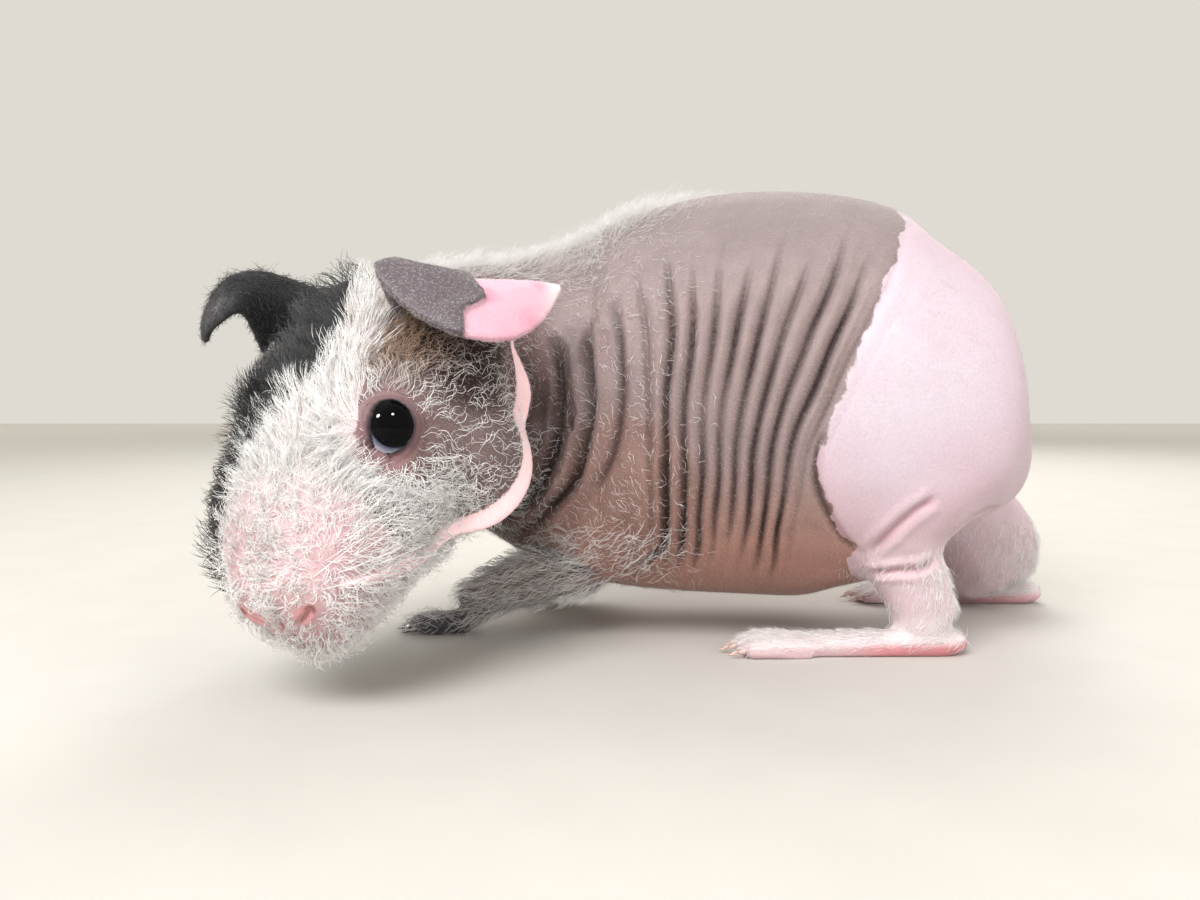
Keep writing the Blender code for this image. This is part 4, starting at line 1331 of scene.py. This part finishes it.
# Ears: short down, black and longer on the right one's root.
density = on("ear_left") * (0.4 + 2.4 * ramp(mark["pinna"], 0.2, -0.4))
roots = scattered(density + on("ear_right") * 1.6, HAIRS["ears"])
h, n = roots.h, roots.n
pink = ramp(roots.at(mark["pinna"]), -0.2, 0.2)
right = (h[:, 1] < 0) * 1.0
ear_root = right * ramp(h[:, 0], -40, -47)
lie = lies(n, (0.4, 0.0, -0.1), 0.4) * np.where(h[:, 1:2] < 0, (1, -1, 1), 1) @ HEAD
hair = Hair((0.5, 0.9), (15, 40), (0.1, 0.9), (0.0, 0.1), (0.3, 0.8), (0.03, 0.045), 2)
root_tone = mixed(mixed(shades(n, GREY * 0.8, 0.2), WHITE, pink), BLACK, right)
tip_tone = mixed(mixed(shades(n, GREY * 1.1, 0.2), WHITE, pink), BLACK * 1.6, right)
longer = 1 + right * some((0.3, 0.8), n) + ear_root * some((0.8, 2.4), n)
strands("coat_ears", roots, lie, hair, root_tone, tip_tone, longer=longer)

# Velvet: the very short down over all the loose skin.
bare = ramp(mark["rump"], 0.5, -0.5) * 0.85 + 0.15
density = (1 - share_of["foot"]) * bare * bare_eye * (1 - on("ear")) * (1 - pale_face)
density = density * (1 - black_face) * ramp(crease, 0.9, 0.4) * by_fold
hair = Hair((0.45, 0.95), (20, 50), (0.0, 0.1), (0.0, 0.0), (0.0, 0.0), (0.022, 0.032), 1)
for part in range(1 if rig.quick() else 2):
    roots = scattered(density, HAIRS["velvet"])
    n = roots.n
    light = roots.at(mark["rump"])[:, None] > 0
    lie = lies(n, (0.7, 0.0, -0.7), 0.4)
    tones = shades(n, GREY * 0.85, 0.15), np.where(light, WHITE, GREY * 1.3)
    strands(f"coat_velvet_{part + 1}", roots, lie, hair, *tones)


def whiskers():
    """Long hairs in rows on the muzzle's pads."""
    spots, ways, sizes = [], [], []
    for side in (1, -1):
        for row in range(4):
            for column in range(4):
                spots.append((-3.5 - 2.6 * column, side * (7.0 + 0.9 * column), 5.0 - 2.4 * row))
                ways.append((-0.35 - 0.12 * column, side * 0.95, 0.25 - 0.28 * row))
                sizes.append(1 - 0.12 * row + 0.1 * column)
    spots = from_head(np.array(spots))
    tree = BVHTree.FromPolygons(co.tolist(), tris.tolist())
    found = [tree.find_nearest(p) for p in spots.tolist()]
    spots = np.array([tuple(f[0]) for f in found])
    roots = Roots(spots, unit(np.array([tuple(f[1]) for f in found])))
    n = roots.n
    hair = Hair((7.5, 10.5), (22, 42), (0.4, 1.1), (0.1, 0.3), (0.2, 0.4), (0.06, 0.08), 9)
    lie = (np.array(ways) + 0.12 * rng.normal(size=(n, 3))) @ HEAD
    strands("whiskers", roots, lie, hair, shades(n, WHITE), shades(n, WHITE), longer=np.array(sizes))


whiskers()


# ---- Eyes and claws ----
GAZE = unit((0.425, 0.675, 0.612))
IRIS = math.radians(47)  # half its width, from the gaze
CORNEA_HEIGHT = 0.14
BALL_RINGS, BALL_SPOKES = 72, 96


def eyeball(side, material):
    """A ball with a slightly raised cornea. Its pupil, iris and white are in its tones."""
    rings, spokes = BALL_RINGS, BALL_SPOKES
    gaze = GAZE * (1, side, 1)
    one = unit(np.cross(gaze, (0.0, 0.0, 1.0)))
    two = np.cross(gaze, one)
    angle = np.linspace(0, math.pi, rings + 1)[1:-1]
    turn = np.linspace(0, 2 * math.pi, spokes, endpoint=False)
    a, t = (g.ravel() for g in np.meshgrid(angle, turn, indexing="ij"))
    a, t = np.append(a, (0, math.pi)), np.append(t, (0, 0))
    round_gaze = np.cos(t)[:, None] * one + np.sin(t)[:, None] * two
    ray = np.cos(a)[:, None] * gaze + np.sin(a)[:, None] * round_gaze
    radius = EYE_RADIUS + CORNEA_HEIGHT * ramp(a, IRIS + 0.12, 0.2)
    points = from_head(EYE_PLACE * (1, side, 1) + ray * radius[:, None])
    faces = []
    for i in range(rings - 2):
        for k in range(spokes):
            m = (k + 1) % spokes
            faces += [(i * spokes + k, (i + 1) * spokes + k, (i + 1) * spokes + m)]
            faces += [(i * spokes + k, (i + 1) * spokes + m, i * spokes + m)]
    first, last = len(points) - 2, len(points) - 1
    for k in range(spokes):
        m = (k + 1) % spokes
        faces += [(first, k, m), ((rings - 2) * spokes + k, last, (rings - 2) * spokes + m)]
    faces = np.array(faces)
    if side < 0:
        faces = faces[:, ::-1]
    streak = 0.5 + 0.5 * np.sin(t * 41 + 3 * np.sin(t * 7))
    tone = painted(
        mixed(
            np.tile(srgb(3, 3, 4), (len(a), 1)),
            mixed(srgb(9, 9, 13), srgb(6, 6, 8), streak),
            ramp(a, 0.50, 0.56),
        ),
        ((5, 5, 10), ramp(a, IRIS - 0.10, IRIS - 0.03)),
        ((104, 112, 134), ramp(a, IRIS - 0.01, IRIS + 0.09)),
        ((196, 198, 211), ramp(a, IRIS + 0.08, IRIS + 0.32)),
    )
    round_lid, gap = around_eye(to_head(points), side)[2:]
    tone = mixed(tone, srgb(8, 8, 11), ramp(gap, -1.1, -0.5) * ramp(np.cos(round_lid - 3.6), 0.75, 0.35))
    obj = mesh_object("eyeball_left" if side > 0 else "eyeball_right", points, faces)
    attribute(obj.data, "tone", "FLOAT_COLOR", tone)
    obj.data.materials.append(material)
    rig.ride(obj, "root")
    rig.replaces(obj, "eye_left" if side > 0 else "eye_right")
    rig.slot(obj, "eye")


EYE_SHINE = {"Roughness": 0.12, "Specular IOR Level": 0.0}
EYE_SHINE |= {"Coat Weight": 1.0, "Coat Roughness": 0.015, "Coat IOR": 1.19}
EYE = toned_material("eye", 2400.0, 3.0, 0.9, 1.1, EYE_SHINE)
for side in (1, -1):
    eyeball(side, EYE)


def claw_material(name, base, tip):
    mat, tree, bsdf = node_material(name)
    grain = grain_in(tree, 1800.0, 3.0)
    blend = add(tree, "ShaderNodeValToRGB", {"Fac": grain})
    for stop, tone, at in zip(blend.color_ramp.elements, (base, tip), (0.35, 0.65)):
        stop.position = at
        stop.color = (*srgb(*tone), 1)
    inputs = {
        "Base Color": blend.outputs["Color"],
        "Normal": bumped(tree, grain, 0.2, 0.00008),
        "Roughness": 0.32,
        "Subsurface Weight": 0.15,
        "Subsurface Scale": 0.0005,
    }
    feed(tree, bsdf, inputs)
    return mat


PALE_CLAW = claw_material("claw_pale", (226, 190, 182), (206, 168, 160))
DARK_CLAW = claw_material("claw_dark", (74, 66, 66), (96, 86, 84))
for node in CLAWS:
    claw = bpy.data.objects.new(node.replace("_claw_", "_nail_"), frame["nodes"][node].data.copy())
    bpy.context.scene.collection.objects.link(claw)
    claw.data.polygons.foreach_set("use_smooth", np.full(len(claw.data.polygons), True))
    claw.data.materials.clear()
    claw.data.materials.append(PALE_CLAW if node.startswith("hind") else DARK_CLAW)
    mod = claw.modifiers.new("round", "SUBSURF")
    mod.levels = mod.render_levels = 2
    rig.ride(claw, "root")
    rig.replaces(claw, node)
    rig.slot(claw, "claw")

# ---- Stage ----
CAMERA_PLACE = np.array((-20.0, -195.0, 43.6))
CAMERA_TILT = math.radians(87)
scene = bpy.context.scene
camera_data = bpy.data.cameras.new("camera")
camera_data.lens = 30.0
camera_data.sensor_width = 36.0
camera_data.clip_start = 0.005
camera = bpy.data.objects.new("camera", camera_data)
camera.location = (CAMERA_PLACE + MOVED) * MM
camera.rotation_euler = Euler((CAMERA_TILT, 0, 0))
scene.collection.objects.link(camera)
scene.camera = camera

FLOOR_SIZE = 1500.0  # from its middle to each edge
corners = np.array([(-1, -1, 0), (1, -1, 0), (1, 1, 0), (-1, 1, 0)]) * FLOOR_SIZE - MOVED * (1, 1, 0)
floor = mesh_object("floor", corners, [(0, 1, 2, 3)])
mat, tree, bsdf = node_material("floor")
far = add(tree, "ShaderNodeVectorMath", {0: place_in(tree)}, operation="LENGTH").outputs["Value"]
inputs = {"Value": far, "From Min": 0.5, "From Max": 1.5, "To Min": 1.0, "To Max": 1.5}
paler = add(tree, "ShaderNodeMapRange", inputs, interpolation_type="SMOOTHSTEP").outputs[0]
tone = scaled(tree, tuple(srgb(194, 191, 186)), spread(tree, grain_in(tree, 60.0, 6.0), 0.96, 1.0))
feed(tree, bsdf, {"Base Color": scaled(tree, tone, paler), "Roughness": 0.9, "Specular IOR Level": 0.1})
floor.data.materials.append(mat)
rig.stage(floor)


LAMP_AIM = Vector((0, 0, 0.04))


def lamp(name, place, size, energy, colour, glossy=True, diffuse=True):
    data = bpy.data.lights.new(name, "AREA")
    data.shape = "DISK"
    data.size = size
    data.energy = energy
    data.color = colour
    obj = bpy.data.objects.new(name, data)
    obj.location = place
    obj.rotation_euler = (LAMP_AIM - Vector(place)).to_track_quat("-Z", "Y").to_euler()
    obj.visible_glossy = glossy
    obj.visible_diffuse = diffuse
    scene.collection.objects.link(obj)


lamp("key", (-0.25, -0.50, 0.50), 0.40, 6.0, (1.0, 0.995, 0.985), glossy=False)
lamp("fill", (0.50, -0.50, 0.30), 0.50, 1.6, (0.96, 0.98, 1.0), glossy=False)
lamp("rim", (0.10, 0.50, 0.50), 0.50, 3.6, (1.0, 0.99, 0.97), glossy=False)
lamp("window_1", (-0.52, -0.34, 0.46), 0.15, 7.5, (1.0, 1.0, 1.0), diffuse=False)
lamp("window_2", (0.06, -0.47, 0.57), 0.12, 5.0, (1.0, 1.0, 1.0), diffuse=False)
world = bpy.data.worlds.new("world")
world.use_nodes = True
world.node_tree.nodes["Background"].inputs["Color"].default_value = (*srgb(228, 224, 215), 1)
world.node_tree.nodes["Background"].inputs["Strength"].default_value = 0.95
scene.world = world
scene.view_settings.view_transform = "Standard"

open("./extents.json", "w").write(
    __import__("json").dumps([[list(c) for c in CAD_BOX], [list(c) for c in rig.bounds()]])
)
